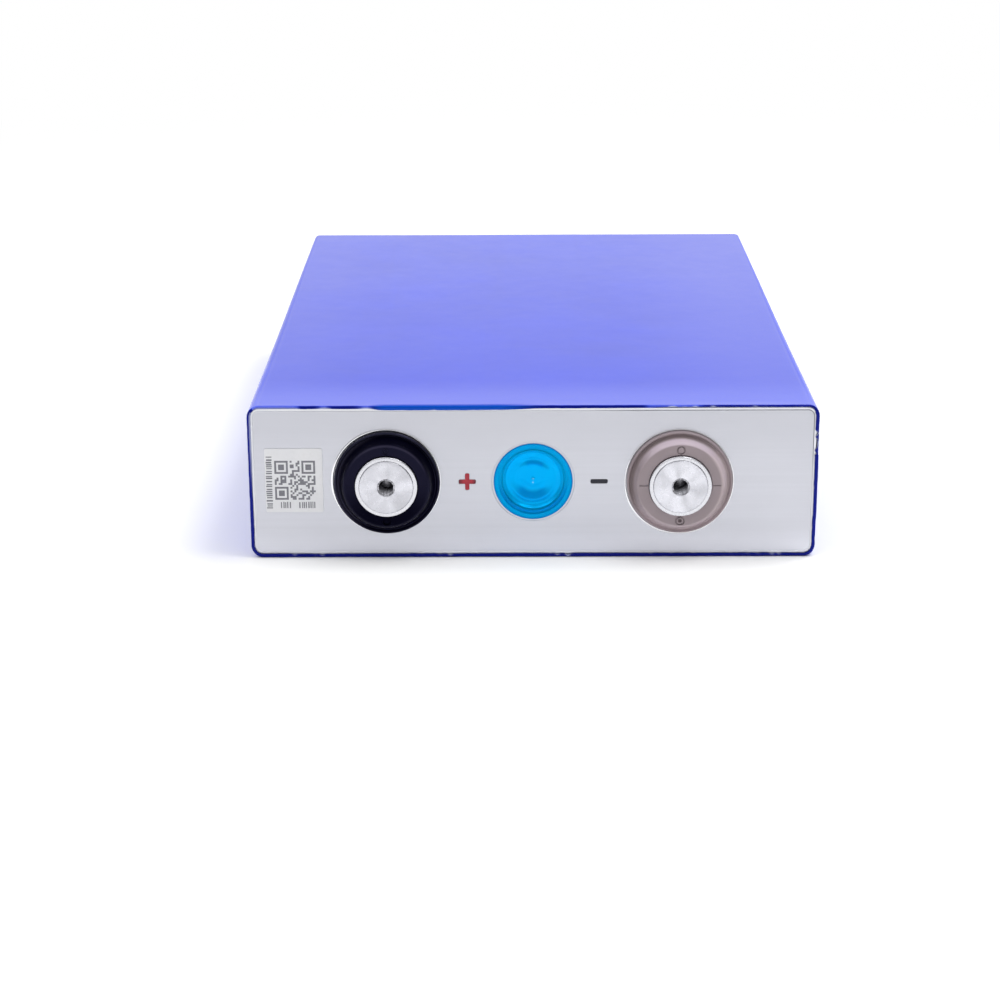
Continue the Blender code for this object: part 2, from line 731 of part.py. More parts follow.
def tab_stack(name, x, roll_z, mat):
    """Foils gathered out of the roll and folded flat under the collector."""
    towards = 1.0 if roll_z < MID_Z else -1.0  # Z direction to mid-thickness
    bend_start = TAB_FLAT - TAB_BEND
    path = [(roll_z, TAB_ROOT), (roll_z, bend_start)]  # (Z, height)
    for step in range(1, TAB_BEND_STEPS + 1):
        angle = math.radians(90 * step / TAB_BEND_STEPS)
        path.append(
            (
                roll_z + towards * TAB_BEND * (1 - math.cos(angle)),
                bend_start + TAB_BEND * math.sin(angle),
            )
        )
    path.append((MID_Z - towards * TAB_END_GAP, TAB_FLAT))

    bm = bmesh.new()
    chain = [bm.verts.new((x - TAB_WIDTH / 2, at(height), z)) for z, height in path]
    edges = [bm.edges.new(pair) for pair in zip(chain, chain[1:])]
    swept = bmesh.ops.extrude_edge_only(bm, edges=edges)
    moved = [g for g in swept["geom"] if isinstance(g, bmesh.types.BMVert)]
    bmesh.ops.translate(bm, vec=(TAB_WIDTH, 0.0, 0.0), verts=moved)
    bmesh.ops.recalc_face_normals(bm, faces=bm.faces)
    obj = add_part(name, finish_mesh(name, bm), mat)
    solid = obj.modifiers.new("thickness", "SOLIDIFY")
    solid.thickness = TAB
    solid.offset = 0.0
    solid.use_even_offset = True


def roll_bag():
    shell_part(
        "roll_bag",
        (-BAG_HALF_X, at(BAG_TOP), BAG_INNER_LOW_Z - BAG),
        (BAG_HALF_X, BAG_BASE_Y, BAG_INNER_HIGH_Z + BAG),
        bag_film,
        wall=BAG,
        radius=1.2 * MM,
        segments=3,
        end_radius=0.6 * MM,
    )


def base_spacer():
    half_x = BAG_HALF_X - SPACER_INSET_X
    slab(
        "base_spacer",
        (-half_x, SPACER_BASE_Y - SPACER, BAG_INNER_LOW_Z + SPACER_INSET_Z),
        (half_x, SPACER_BASE_Y, BAG_INNER_HIGH_Z - SPACER_INSET_Z),
        spacer_plastic,
        radius=1.0 * MM,
        segments=2,
    )


def electrode_roll(letter, roll_z):
    half_x = BAG_HALF_X - BAG - ROLL_SIDE_GAP
    slab(
        f"electrode_roll_{letter}",
        (-half_x, at(ROLL_TOP), roll_z - ROLL_THICKNESS / 2),
        (half_x, SPACER_BASE_Y - SPACER - ROLL_GAP, roll_z + ROLL_THICKNESS / 2),
        roll_coating,
        radius=ROLL_CORNER,
        segments=8,
    )


for letter, roll_z in ROLLS:
    tab_stack(f"positive_tab_stack_{letter}", POS_X, roll_z, foil_aluminium)
    tab_stack(f"negative_tab_stack_{letter}", NEG_X, roll_z, foil_copper)
roll_bag()
base_spacer()
for letter, roll_z in ROLLS:
    electrode_roll(letter, roll_z)

# --------------------------------------------------------- smooth the curves
for obj in PARTS.objects:
    obj.data.shade_smooth()
    if obj.data.polygons:
        obj.data.set_sharp_from_angle(angle=math.radians(30))
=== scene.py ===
"""A flat battery cell in a blue film wrap, lying on its broad side.

X runs across the lid, Y from the lid (front, low Y) to the base (back, high Y), and Z is up.
Shapes are given in mm. A height is measured from the lid face towards the front (-Y), a depth
from the lid face towards the base. Clock angles are seen from the front, with 12 o'clock up.
"""

import math
from collections import namedtuple

import bmesh
import bpy
import numpy as np
from mathutils import Matrix, Vector, noise


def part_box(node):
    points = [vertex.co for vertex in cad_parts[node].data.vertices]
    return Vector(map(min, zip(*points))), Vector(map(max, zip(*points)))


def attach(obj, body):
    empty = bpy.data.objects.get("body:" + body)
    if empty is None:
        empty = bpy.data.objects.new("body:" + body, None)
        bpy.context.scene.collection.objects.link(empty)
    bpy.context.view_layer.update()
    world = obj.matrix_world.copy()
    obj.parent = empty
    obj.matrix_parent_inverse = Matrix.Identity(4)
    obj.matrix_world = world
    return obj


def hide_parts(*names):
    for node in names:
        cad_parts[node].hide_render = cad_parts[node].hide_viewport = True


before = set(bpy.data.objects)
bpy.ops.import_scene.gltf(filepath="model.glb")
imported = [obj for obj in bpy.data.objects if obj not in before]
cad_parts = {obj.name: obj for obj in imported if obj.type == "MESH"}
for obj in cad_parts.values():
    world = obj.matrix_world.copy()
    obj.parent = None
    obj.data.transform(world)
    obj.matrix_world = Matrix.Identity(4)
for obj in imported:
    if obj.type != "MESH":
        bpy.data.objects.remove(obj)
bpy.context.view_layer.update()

MM = 0.001

# ------------------------------------------------------------------ driving places and sizes
film_lo, film_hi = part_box("outer_film")
patch_lo, patch_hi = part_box("base_patch")
lid_lo, lid_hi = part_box("lid_plate")
label_lo, label_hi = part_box("data_label")
LID_Y = lid_lo.y  # outer face of the lid
MID_Z = (film_lo.z + film_hi.z) / 2


def centre_x(node):
    lo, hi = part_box(node)
    return (lo.x + hi.x) / 2


POS_X, NEG_X = centre_x("positive_ring"), centre_x("negative_ring")
VENT_X, FILL_X = centre_x("vent_disc"), centre_x("fill_cap")
PLUS_X, MINUS_X = centre_x("plus_mark"), centre_x("minus_mark")
FILM_W, FILM_H = (film_hi.x - film_lo.x) / MM, (film_hi.z - film_lo.z) / MM
FILM_LENGTH = (film_hi.y - LID_Y) / MM
LID_W, LID_H = (lid_hi.x - lid_lo.x) / MM, (lid_hi.z - lid_lo.z) / MM
LID_CORNER = 2.2

# ------------------------------------------------------------------ mesh kit


def ease(start, end, value):
    """0 at start, 1 at end, with a smooth step between. start may be above end."""
    t = min(1.0, max(0.0, (value - start) / (end - start)))
    return t * t * (3 - 2 * t)


def wobble(x, y=0.0, z=0.0):
    return noise.noise(Vector((x, y, z)))


def add_piece(name, verts, faces, slot, stands_for=(), angle=30.0, weld=0.0, attributes=None,
              material=None):
    mesh = bpy.data.meshes.new(name)
    mesh.from_pydata([tuple(v) for v in verts], [], faces)
    for key, values in (attributes or {}).items():
        layer = mesh.attributes.new(key, "FLOAT", "POINT")
        layer.data.foreach_set("value", np.asarray(values, np.float32))
    tidy(mesh, weld, dissolve=True)
    finish_piece(name, mesh, slot, stands_for, angle, material)


def tidy(mesh, weld, dissolve=False):
    """Welds close vertices, if asked to, and turns the faces outwards."""
    bm = bmesh.new()
    bm.from_mesh(mesh)
    if weld:
        bmesh.ops.remove_doubles(bm, verts=bm.verts, dist=weld)
        if dissolve:
            bmesh.ops.dissolve_degenerate(bm, dist=weld / 2, edges=bm.edges)
    bmesh.ops.recalc_face_normals(bm, faces=bm.faces)
    bm.to_mesh(mesh)
    bm.free()


def finish_piece(name, mesh, slot, stands_for=(), angle=30.0, material=None):
    """Makes the object. Its material is the slot's own unless another is named."""
    mesh.materials.clear()
    mesh.materials.append(MATERIALS[material or slot])
    mesh.shade_smooth()
    mesh.set_sharp_from_angle(angle=math.radians(angle))
    obj = bpy.data.objects.new(name, mesh)
    bpy.context.scene.collection.objects.link(obj)
    weighted = obj.modifiers.new("weighted_normals", "WEIGHTED_NORMAL")
    weighted.keep_sharp = True
    weighted.weight = 80
    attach(obj, "root")
    if stands_for:
        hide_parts(*stands_for)


def soften(points, radius, closed=False, steps=4):
    """Rounds the corners of a profile. radius is one number or {index: number, "all": number}."""
    out = []
    last = len(points) - 1
    for i, point in enumerate(points):
        wanted = radius.get(i, radius.get("all", 0.0)) if isinstance(radius, dict) else radius
        if wanted <= 0 or (not closed and i in (0, last)):
            out.append(tuple(point))
            continue
        corner = Vector(point)
        before = Vector(points[i - 1]) - corner
        after = Vector(points[(i + 1) % len(points)]) - corner
        before_length, after_length = before.length, after.length
        before.normalize()
        after.normalize()
        angle = math.acos(max(-1.0, min(1.0, before.dot(after))))
        if angle > math.pi - 0.02 or angle < 0.02:
            out.append(tuple(point))
            continue
        cut = min(wanted / math.tan(angle / 2), 0.47 * before_length, 0.47 * after_length)
        fitted = cut * math.tan(angle / 2)
        centre = corner + (before + after).normalized() * (fitted / math.sin(angle / 2))
        first, final = corner + before * cut - centre, corner + after * cut - centre
        from_angle = math.atan2(first.y, first.x)
        to_angle = math.atan2(final.y, final.x)
        sweep = (to_angle - from_angle + math.pi) % (2 * math.pi) - math.pi
        for k in range(steps + 1):
            at = from_angle + sweep * k / steps
            out.append((centre.x + fitted * math.cos(at), centre.y + fitted * math.sin(at)))
    return out


def revolve(profile, steps, x, z=MID_Z, shape=None):
    """Turns (radius, height) pairs about an axis along Y, from 12 o'clock.

    shape(angle, radius, height) may move each point. A profile off the axis is closed on itself.
    """
    verts, rings = [], []
    for radius, height in profile:
        if radius < 1e-6:
            rings.append([len(verts)])
            verts.append((x, LID_Y - height * MM, z))
            continue
        ring = []
        for k in range(steps):
            angle = 2 * math.pi * k / steps
            r, up = shape(angle, radius, height) if shape else (radius, height)
            ring.append(len(verts))
            verts.append((x + r * MM * math.sin(angle), LID_Y - up * MM,
                          z + r * MM * math.cos(angle)))
        rings.append(ring)
    pairs = list(zip(rings[:-1], rings[1:]))
    if len(rings[0]) > 1 and len(rings[-1]) > 1:
        pairs.append((rings[-1], rings[0]))
    faces = []
    for one, two in pairs:
        for k in range(steps):
            n = (k + 1) % steps
            if len(one) == 1:
                faces.append((one[0], two[k], two[n]))
            elif len(two) == 1:
                faces.append((one[k], two[0], one[n]))
            else:
                faces.append((one[k], two[k], two[n], one[n]))
    return verts, faces


def loose_mesh(name, verts, faces):
    mesh = bpy.data.meshes.new(name)
    mesh.from_pydata([tuple(v) for v in verts], [], faces)
    tidy(mesh, 1e-8)
    return mesh


def carve(mesh, cutters, name):
    """The mesh with each (verts, faces) cut out of it by the exact Boolean."""
    collection = bpy.context.scene.collection
    work = bpy.data.objects.new(name + "_work", mesh)
    collection.objects.link(work)
    helpers = [work]
    for i, (verts, faces) in enumerate(cutters):
        tool_name = f"{name}_tool_{i}"
        tool = bpy.data.objects.new(tool_name, loose_mesh(tool_name, verts, faces))
        collection.objects.link(tool)
        helpers.append(tool)
        cut = work.modifiers.new(f"cut_{i}", "BOOLEAN")
        cut.operation = "DIFFERENCE"
        cut.solver = "EXACT"
        cut.object = tool
    bpy.context.view_layer.update()
    graph = bpy.context.evaluated_depsgraph_get()
    made = bpy.data.meshes.new_from_object(work.evaluated_get(graph), depsgraph=graph)
    for helper in helpers:
        bpy.data.objects.remove(helper, do_unlink=True)
    return made


def outline(width, height, radius, corner_steps=10, spacing=None):
    """(point, outward normal) pairs round a rounded rectangle about its centre.

    They start at the lower left and go anticlockwise as seen from the front.
    """
    w, h = width / 2 - radius, height / 2 - radius
    corners = [(w, -h, -90), (w, h, 0), (-w, h, 90), (-w, -h, 180)]
    out = []
    for i, (x, z, degrees) in enumerate(corners):
        last_x, last_z, _ = corners[i - 1]
        out_x, out_z = math.cos(math.radians(degrees)), math.sin(math.radians(degrees))
        start = (last_x + radius * out_x, last_z + radius * out_z)
        end = (x + radius * out_x, z + radius * out_z)
        count = max(1, round(math.dist(start, end) / spacing)) if spacing else 1
        for k in range(count):
            f = k / count
            point = (start[0] + (end[0] - start[0]) * f, start[1] + (end[1] - start[1]) * f)
            out.append((point, (out_x, out_z)))
        for k in range(corner_steps):
            angle = math.radians(degrees + 90 * k / corner_steps)
            normal = (math.cos(angle), math.sin(angle))
            out.append(((x + radius * normal[0], z + radius * normal[1]), normal))
    return out


def strip_faces(rows):
    """Quads between rows of vertex numbers that go round."""
    faces = []
    count = len(rows[0])
    for one, two in zip(rows[:-1], rows[1:]):
        for k in range(count):
            n = (k + 1) % count
            faces.append((one[k], one[n], two[n], two[k]))
    return faces


def prism(points, front, back, x=0.0, bevel=0.0):
    """A flat shape of (x, z) pairs between two heights, with an optional bevel in front."""
    verts, rows = [], []
    levels = [(back, 0.0), (front - bevel, 0.0)] + ([(front, bevel)] if bevel else [])
    for height, inset in levels:
        row = []
        for i, (px, pz) in enumerate(points):
            if inset:
                before, after = Vector(points[i - 1]), Vector(points[(i + 1) % len(points)])
                along = (after - before).normalized()
                px, pz = px - along.y * inset, pz + along.x * inset
            row.append(len(verts))
            verts.append((x + px * MM, LID_Y - height * MM, MID_Z + pz * MM))
        rows.append(row)
    return verts, strip_faces(rows) + [tuple(rows[0]), tuple(reversed(rows[-1]))]


# ------------------------------------------------------------------ material kit


def scaled(colour, factor):
    return tuple(c * factor for c in colour)


class Material:
    """Writes a node material. Most methods return the output socket of a new node."""

    def __init__(self, name):
        self.made = bpy.data.materials.new(name)
        self.made.use_nodes = True
        self.tree = self.made.node_tree
        self.tree.nodes.clear()
        self.out = self.tree.nodes.new("ShaderNodeOutputMaterial")
        self.coord = self.tree.nodes.new("ShaderNodeTexCoord").outputs["Object"]

    def node(self, kind, _props=None, **inputs):
        """A new node. Underscores in the input names stand for spaces."""
        made = self.tree.nodes.new("ShaderNode" + kind)
        for key, value in (_props or {}).items():
            setattr(made, key, value)
        for key, value in inputs.items():
            self.feed(made, key.replace("_", " "), value)
        return made

    def feed(self, made, key, value):
        socket = made.inputs[key]
        if isinstance(value, bpy.types.NodeSocket):
            self.tree.links.new(value, socket)
        else:
            if socket.type == "RGBA" and len(value) == 3:
                value = (*value, 1.0)
            socket.default_value = value

    def math(self, operation, first, second=0.0):
        made = self.node("Math", {"operation": operation})
        self.feed(made, 0, first)
        self.feed(made, 1, second)
        return made.outputs[0]

    def plus(self, first, second):
        return self.math("ADD", first, second)

    def minus(self, first, second):
        return self.math("SUBTRACT", first, second)

    def most(self, first, second):
        return self.math("MAXIMUM", first, second)

    def least(self, first, second):
        return self.math("MINIMUM", first, second)

    def absolute(self, value):
        return self.math("ABSOLUTE", value)

    def times(self, *values):
        out = values[0]
        for value in values[1:]:
            out = self.math("MULTIPLY", out, value)
        return out

    def stretched(self, scale, rotation=(0, 0, 0)):
        made = self.node("Mapping", Vector=self.coord, Scale=scale, Rotation=rotation)
        return made.outputs[0]

    def noise(self, scale, detail=3.0, roughness=0.55, vector=None, distortion=0.0):
        return self.node(
            "TexNoise",
            Vector=self.coord if vector is None else vector,
            Scale=scale,
            Detail=detail,
            Roughness=roughness,
            Distortion=distortion,
        ).outputs[0]

    def span(self, value, from_lo, from_hi, to_lo=0.0, to_hi=1.0, kind="LINEAR"):
        """Maps one range of values onto another and stops at its ends."""
        made = self.node("MapRange", {"interpolation_type": kind}, Value=value, From_Min=from_lo,
                         From_Max=from_hi, To_Min=to_lo, To_Max=to_hi)
        return made.outputs[0]

    def rise(self, value, start, end, strength=1.0):
        """A smooth step from 0 at start to strength at end."""
        return self.span(value, start, end, 0.0, strength, "SMOOTHSTEP")

    def fall(self, value, start, end, strength=1.0):
        """A smooth step from strength at start to 0 at end."""
        return self.span(value, start, end, strength, 0.0, "SMOOTHSTEP")

    def mix(self, factor, first, second):
        made = self.node("Mix", {"data_type": "RGBA"})
        # the factor and the two colours, among sockets that share their names
        for index, value in ((0, factor), (6, first), (7, second)):
            self.feed(made, index, value)
        return made.outputs[2]

    def bump(self, height, distance, strength=1.0, normal=None):
        made = self.node("Bump", Height=height, Distance=distance, Strength=strength)
        if normal is not None:
            self.feed(made, "Normal", normal)
        return made.outputs[0]

    def attribute(self, name):
        return self.node("Attribute", {"attribute_name": name}).outputs["Fac"]

    def axis(self, name, centre=0.0, parts=None):
        """Millimetres from a centre (in metres) along one axis."""
        if parts is None:
            parts = self.node("SeparateXYZ", Vector=self.coord).outputs
        return self.times(self.minus(parts[name], centre), 1000.0)

    def place(self, x=0.0):
        """Millimetres to the right of x and above mid height."""
        parts = self.node("SeparateXYZ", Vector=self.coord).outputs
        return self.axis("X", x, parts), self.axis("Z", MID_Z, parts)

    def length(self, x, z):
        return self.math("SQRT", self.plus(self.times(x, x), self.times(z, z)))

    def principled(self, **inputs):
        return self.node("BsdfPrincipled", **inputs)

    def blend(self, factor, first, second):
        made = self.node("MixShader")
        for socket, value in zip(made.inputs, (factor, first.outputs[0], second.outputs[0])):
            self.tree.links.new(value, socket)
        return made

    def done(self, shader):
        self.tree.links.new(shader.outputs[0], self.out.inputs["Surface"])
        return self.made


# ------------------------------------------------------------------ film materials


def lip_tones(mat, colour, dark, up, flat_top):
    """Paints light and shade from the mesh attributes: painted shade on the turned-in lip,
    painted highlights, a painted lighter blue and a painted paler reflection on the top; returns
    the colour and coat weight.
    """
    edge = mat.attribute("lip")
    across = mat.axis("X")
    # painted reflection: paler towards the sides of the flat top
    paler = mat.most(mat.rise(across, 20.0, 56.0), mat.rise(across, -38.0, -62.0, strength=0.5))
    colour = mat.mix(mat.times(paler, flat_top), colour, (0.046, 0.085, 0.69))
    # pale: a painted paler reflection along the front of the top
    colour = mat.mix(mat.attribute("pale"), colour, (0.120, 0.165, 0.78))
    vivid = mat.attribute("vivid")
    # painted shade on the lip, partly the doubled film; vivid is a painted lighter blue
    colour = mat.mix(edge, colour, dark)
    colour = mat.mix(vivid, colour, (0.0, 0.070, 0.50))
    coat = mat.span(mat.most(edge, vivid), 0.0, 1.0, 1.0, 0.30)
    # less coat where the long edge turns from the side to the top
    rounded = mat.times(mat.span(up, 0.10, 0.30), mat.span(up, 0.955, 0.995, 1.0, 0.0))
    coat = mat.times(coat, mat.span(rounded, 0.0, 1.0, 1.0, 0.66))
    # whiten: painted highlights
    return mat.mix(mat.attribute("whiten"), colour, (0.55, 0.60, 0.85)), coat


def folded_hem(mat, colour, normal, base):
    """The hem folded in under the end patch: four flaps meeting on the diagonals."""
    x, z = mat.place()
    from_x = mat.minus(FILM_W / 2, mat.absolute(x))
    from_z = mat.minus(FILM_H / 2, mat.absolute(z))
    sway = mat.span(mat.noise(60.0, 2.0), 0.3, 0.7, -0.35, 0.35)
    deep = mat.plus(mat.least(from_x, from_z), sway)
    skew = mat.plus(mat.minus(from_x, from_z), mat.times(sway, 1.6))
    flap = mat.fall(deep, 9.7, 10.3)
    over = mat.rise(skew, -0.25, 0.25)
    # painted shadow along the diagonal creases and the hem's step
    crease = mat.times(mat.fall(mat.absolute(skew), 0.0, 0.9), flap)
    hem = mat.fall(mat.absolute(mat.minus(deep, 10.0)), 0.0, 0.8)
    colour = mat.mix(mat.times(mat.most(crease, hem), 0.62), colour, scaled(base, 0.30))
    # a painted highlight beside the hem, on the flap side
    hem_highlight = mat.fall(mat.absolute(mat.minus(deep, 8.9)), 0.0, 0.7)
    colour = mat.mix(mat.times(hem_highlight, 0.28), colour, (0.05, 0.11, 0.85))
    # the middle, inside the flaps, is a little darker
    colour = mat.mix(mat.times(mat.minus(1.0, flap), 0.30), colour, scaled(base, 0.70))
    relief = mat.plus(flap, mat.times(over, flap, 0.6))
    return colour, mat.bump(relief, distance=0.00022, normal=normal)


def film_material(name, base, lip_dark=None, roughness=0.07, folds=False):
    """Glossy film. lip_dark is the darker colour of its turned-in lip, if it has one: partly the
    doubled film, partly painted shade.
    """
    mat = Material(name)
    cloud = mat.noise(scale=26.0, detail=3.0)
    haze = mat.noise(scale=140.0, detail=4.0, roughness=0.6)
    colour = mat.mix(mat.span(cloud, 0.3, 0.7), base, scaled(base, 0.86))
    scuff_space = mat.stretched((30.0, 420.0, 420.0), rotation=(0.3, 0.2, 0.5))
    scuff = mat.span(mat.noise(3.0, 5.0, 0.7, scuff_space), 0.66, 0.74)
    # the film clings in some places and lies loose in others, and was drawn along its length
    geometry = mat.node("NewGeometry").outputs["Normal"]
    up = mat.node("SeparateXYZ", Vector=geometry).outputs["Z"]
    flat_top = mat.span(up, 0.90, 0.99)
    cling = mat.rise(mat.noise(17.0, 4.0, 0.6, distortion=0.7), 0.44, 0.60)
    drawn = mat.noise(1.0, 4.0, 0.6, mat.stretched((260.0, 5.0, 260.0)))
    quiet = mat.span(flat_top, 0.0, 1.0, 1.0, 0.35)  # fainter on the flat top
    tight = (base[0] + 0.006, base[1] + 0.020, base[2] * 1.10)
    colour = mat.mix(mat.times(cling, quiet, 0.55), colour, tight)
    streaks = mat.times(mat.span(drawn, 0.50, 0.72), quiet, 0.45)
    colour = mat.mix(streaks, colour, scaled(base, 0.80))
    colour = mat.mix(mat.times(scuff, quiet, 0.16), colour, (0.16, 0.22, 0.80))
    coat = 1.0
    if lip_dark:
        colour, coat = lip_tones(mat, colour, lip_dark, up, flat_top)
    coat_rough = mat.plus(mat.span(haze, 0.3, 0.75, roughness, roughness + 0.09),
                          mat.times(scuff, 0.10))
    dimples = mat.noise(scale=900.0, detail=2.0)
    waves = mat.noise(scale=75.0, detail=2.0)
    normal = mat.bump(dimples, distance=0.0000018)
    normal = mat.bump(waves, distance=0.000006, normal=normal)
    normal = mat.bump(scuff, distance=0.000003, strength=0.6, normal=normal)
    normal = mat.bump(mat.times(cling, quiet), distance=0.00003, normal=normal)
    if folds:
        colour, normal = folded_hem(mat, colour, normal, base)
    return mat.done(mat.principled(
        Base_Color=colour,
        Metallic=0.32,
        Roughness=mat.span(haze, 0.3, 0.75, 0.28, 0.38),
        Specular_Tint=(0.02, 0.10, 0.90),
        Coat_Weight=coat,
        Coat_Roughness=coat_rough,
        Coat_IOR=1.43,
        Normal=normal,
        Coat_Normal=normal,
        IOR=1.02,
    ))


def vent_film_material(name):
    """Thin tinted film: what lies under it shows through, with a faint painted glow (emission).
    """
    mat = Material(name)
    cloud = mat.noise(scale=160.0, detail=3.0)
    body = mat.mix(mat.span(cloud, 0.3, 0.7), (0.0, 0.62, 1.0), (0.0, 0.55, 0.97))
    body = mat.mix(mat.attribute("rim"), body, (0.0, 0.10, 0.30))
    normal = mat.bump(mat.noise(210.0, 2.0), distance=0.000010)
    normal = mat.bump(mat.noise(1800.0, 2.0), distance=0.0000002, normal=normal)
    tint = mat.mix(mat.span(cloud, 0.3, 0.7), (0.03, 0.68, 1.0), (0.03, 0.64, 0.98))
    # two tiny painted highlights on the film near its centre: x, z, how much flatter than wide
    x, z = mat.place(VENT_X)
    upper, lower = [
        mat.length(mat.minus(x, at_x), mat.times(mat.minus(z, at_z), flatness))
        for at_x, at_z, flatness in ((0.0, 0.62, 1.6), (-0.05, -0.25, 1.1))
    ]
    glint = mat.most(mat.fall(upper, 0.10, 0.42, strength=0.55),
                     mat.fall(lower, 0.06, 0.32, strength=0.85))
    solid = mat.principled(
        Base_Color=mat.mix(glint, body, (0.45, 0.88, 1.0)),
        Roughness=0.30,
        Specular_IOR_Level=0.0,
        Coat_Weight=0.30,
        Coat_Roughness=0.06,
        Coat_IOR=1.35,
        Normal=normal,
        Coat_Normal=normal,
        # a painted glow: the film gives off a little blue light
        Emission_Color=(0.0, 0.40, 1.0),
        Emission_Strength=0.22,
        IOR=1.0,
    )
    clear = mat.node("BsdfTransparent", Color=tint)
    cover = mat.most(mat.span(mat.attribute("rim"), 0.0, 1.0, 0.26, 0.92), glint)
    outer = mat.blend(cover, clear, solid)
    # the inner face lets everything by, so that the sheet tints only once each way
    inner = mat.node("BsdfTransparent", Color=(1.0, 1.0, 1.0))
    backfacing = mat.node("NewGeometry").outputs["Backfacing"]
    return mat.done(mat.blend(backfacing, outer, inner))


# ------------------------------------------------------------------ metal materials


def lid_tones(mat, colour, base):
    """The lid: a painted highlight round its border, paler low down and a touch darker high up as
    painted light and shade.
    """
    z = mat.axis("Z", MID_Z)
    # painted light low down, a touch of painted shade high up
    colour = mat.mix(mat.rise(z, -10.5, -17.4), colour, scaled(base, 1.20))
    colour = mat.mix(mat.rise(z, 3.0, 15.0), colour, scaled(base, 0.935))
    # how far inside the rounded outline of the lid a point lies
    lid_x, lid_z = mat.place()
    past_x = mat.minus(mat.absolute(lid_x), LID_W / 2 - LID_CORNER)
    past_z = mat.minus(mat.absolute(lid_z), LID_H / 2 - LID_CORNER)
    outside = mat.length(mat.most(past_x, 0.0), mat.most(past_z, 0.0))
    within = mat.least(mat.most(past_x, past_z), 0.0)
    inset = mat.minus(LID_CORNER, mat.plus(outside, within))
    # a painted highlight along the border
    border = mat.times(mat.fall(inset, 0.50, 1.05), 0.60)
    colour = mat.mix(border, colour, (0.90, 0.905, 0.935))
    # the weld line, dark towards the upper right
    x = mat.axis("X")
    weld = mat.span(mat.absolute(mat.minus(inset, 0.71)), 0.05, 0.16, 1.0, 0.0)
    weld = mat.times(weld, mat.span(x, 12.0, 24.0, 0.15), mat.span(z, 0.0, 8.0, 0.2), 0.80)
    colour = mat.mix(weld, colour, (0.15, 0.16, 0.19))
    # painted shade: the lower part of the groove round the vent is darkened to blue
    vent_x, vent_z = mat.place(VENT_X)
    away = mat.length(vent_x, vent_z)
    groove = mat.times(mat.rise(away, 7.00, 7.10), mat.fall(away, 7.85, 8.05))
    low = mat.rise(mat.math("DIVIDE", vent_z, away), 0.1, -0.7, strength=0.85)
    return mat.mix(mat.times(groove, low), colour, (0.10, 0.17, 0.55))


def vent_tones(mat, colour, base):
    # painted shade on the pressed plate, from the shade attribute
    return mat.mix(mat.attribute("shade"), colour, (0.22, 0.34, 0.74))


def pole_tones(mat, colour, base):
    # fan: darker streaks painted over the face; bore: painted shade in the tapped hole
    colour = mat.mix(mat.attribute("fan"), colour, scaled(base, 0.70))
    return mat.mix(mat.attribute("bore"), colour, (0.060, 0.060, 0.068))


def metal_material(name, base, rough, brush=None, grain=1.0, mottled=0.0, tint=0.04, turned=0.0,
                   tones=None):
    """Rolled or machined metal.

    rough: lowest and highest roughness. brush: mapping scale that draws the grain along an axis.
    grain: depth of the relief. mottled: strength of dull spots. tint: depth of the cloudiness.
    turned: anisotropy of lathe marks. tones: function that adds the piece's own colours and its
    painted light and shade.
    """
    mat = Material(name)
    colour = mat.mix(mat.span(mat.noise(45.0, 3.0), 0.3, 0.7), base, scaled(base, 1 - tint))
    if brush:
        fine = mat.noise(1.0, 4.0, 0.65, mat.stretched(brush))
        lines = mat.noise(1.0, 2.0, 0.5, mat.stretched(scaled(brush, 0.22)))
    else:
        fine = mat.noise(2200.0, 4.0, 0.65)
        lines = mat.noise(420.0, 3.0)
    colour = mat.mix(mat.span(lines, 0.35, 0.7, 0.0, 0.5), colour, scaled(base, 0.93))
    if mottled:
        spots = mat.noise(520.0, 4.0, 0.7, distortion=0.6)
        colour = mat.mix(mat.span(spots, 0.56, 0.74, 0.0, mottled), colour, scaled(base, 0.72))
    scratch_space = mat.stretched((900.0, 60.0, 110.0), rotation=(0.0, 0.7, 0.0))
    scratch = mat.span(mat.noise(1.6, 5.0, 0.75, scratch_space), 0.69, 0.73)
    normal = mat.bump(fine, distance=0.0000030 * grain)
    normal = mat.bump(lines, distance=0.0000060 * grain, normal=normal)
    normal = mat.bump(scratch, distance=0.000004 * grain, strength=0.5, normal=normal)
    if tones:
        colour = tones(mat, colour, base)
    roughness = mat.span(fine, 0.25, 0.75, *rough)
    shader = mat.principled(Base_Color=colour, Metallic=1.0, Roughness=roughness, Normal=normal)
    if turned:
        mat.feed(shader, "Anisotropic", turned)
        tangent = mat.node("Tangent", {"direction_type": "RADIAL", "axis": "Y"})
        mat.feed(shader, "Tangent", tangent.outputs[0])
    return mat.done(shader)


def layered_material(name, base, other, period_mm, turn, metallic, rough=0.5):
    """Stacked foils or coated sheet: fine layers with uneven edges. turn lays them on an axis."""
    mat = Material(name)
    wave = mat.node(
        "TexWave",
        {"wave_type": "BANDS", "bands_direction": "X"},
        Vector=mat.stretched((1, 1, 1), turn),
        Scale=1.0 / (period_mm * MM) / 6.2832 * 2,
        Distortion=1.5,
        Detail=2.0,
    ).outputs["Fac"]
    cloud = mat.noise(scale=90.0, detail=3.0)
    colour = mat.mix(wave, base, other)
    colour = mat.mix(mat.span(cloud, 0.35, 0.7, 0.0, 0.5), colour, scaled(base, 0.75))
    return mat.done(mat.principled(
        Base_Color=colour,
        Metallic=metallic,
        Roughness=mat.span(cloud, 0.3, 0.7, rough - 0.1, rough + 0.1),
        Normal=mat.bump(wave, distance=0.00003),
    ))


# ------------------------------------------------------------------ plastic, paper, ink


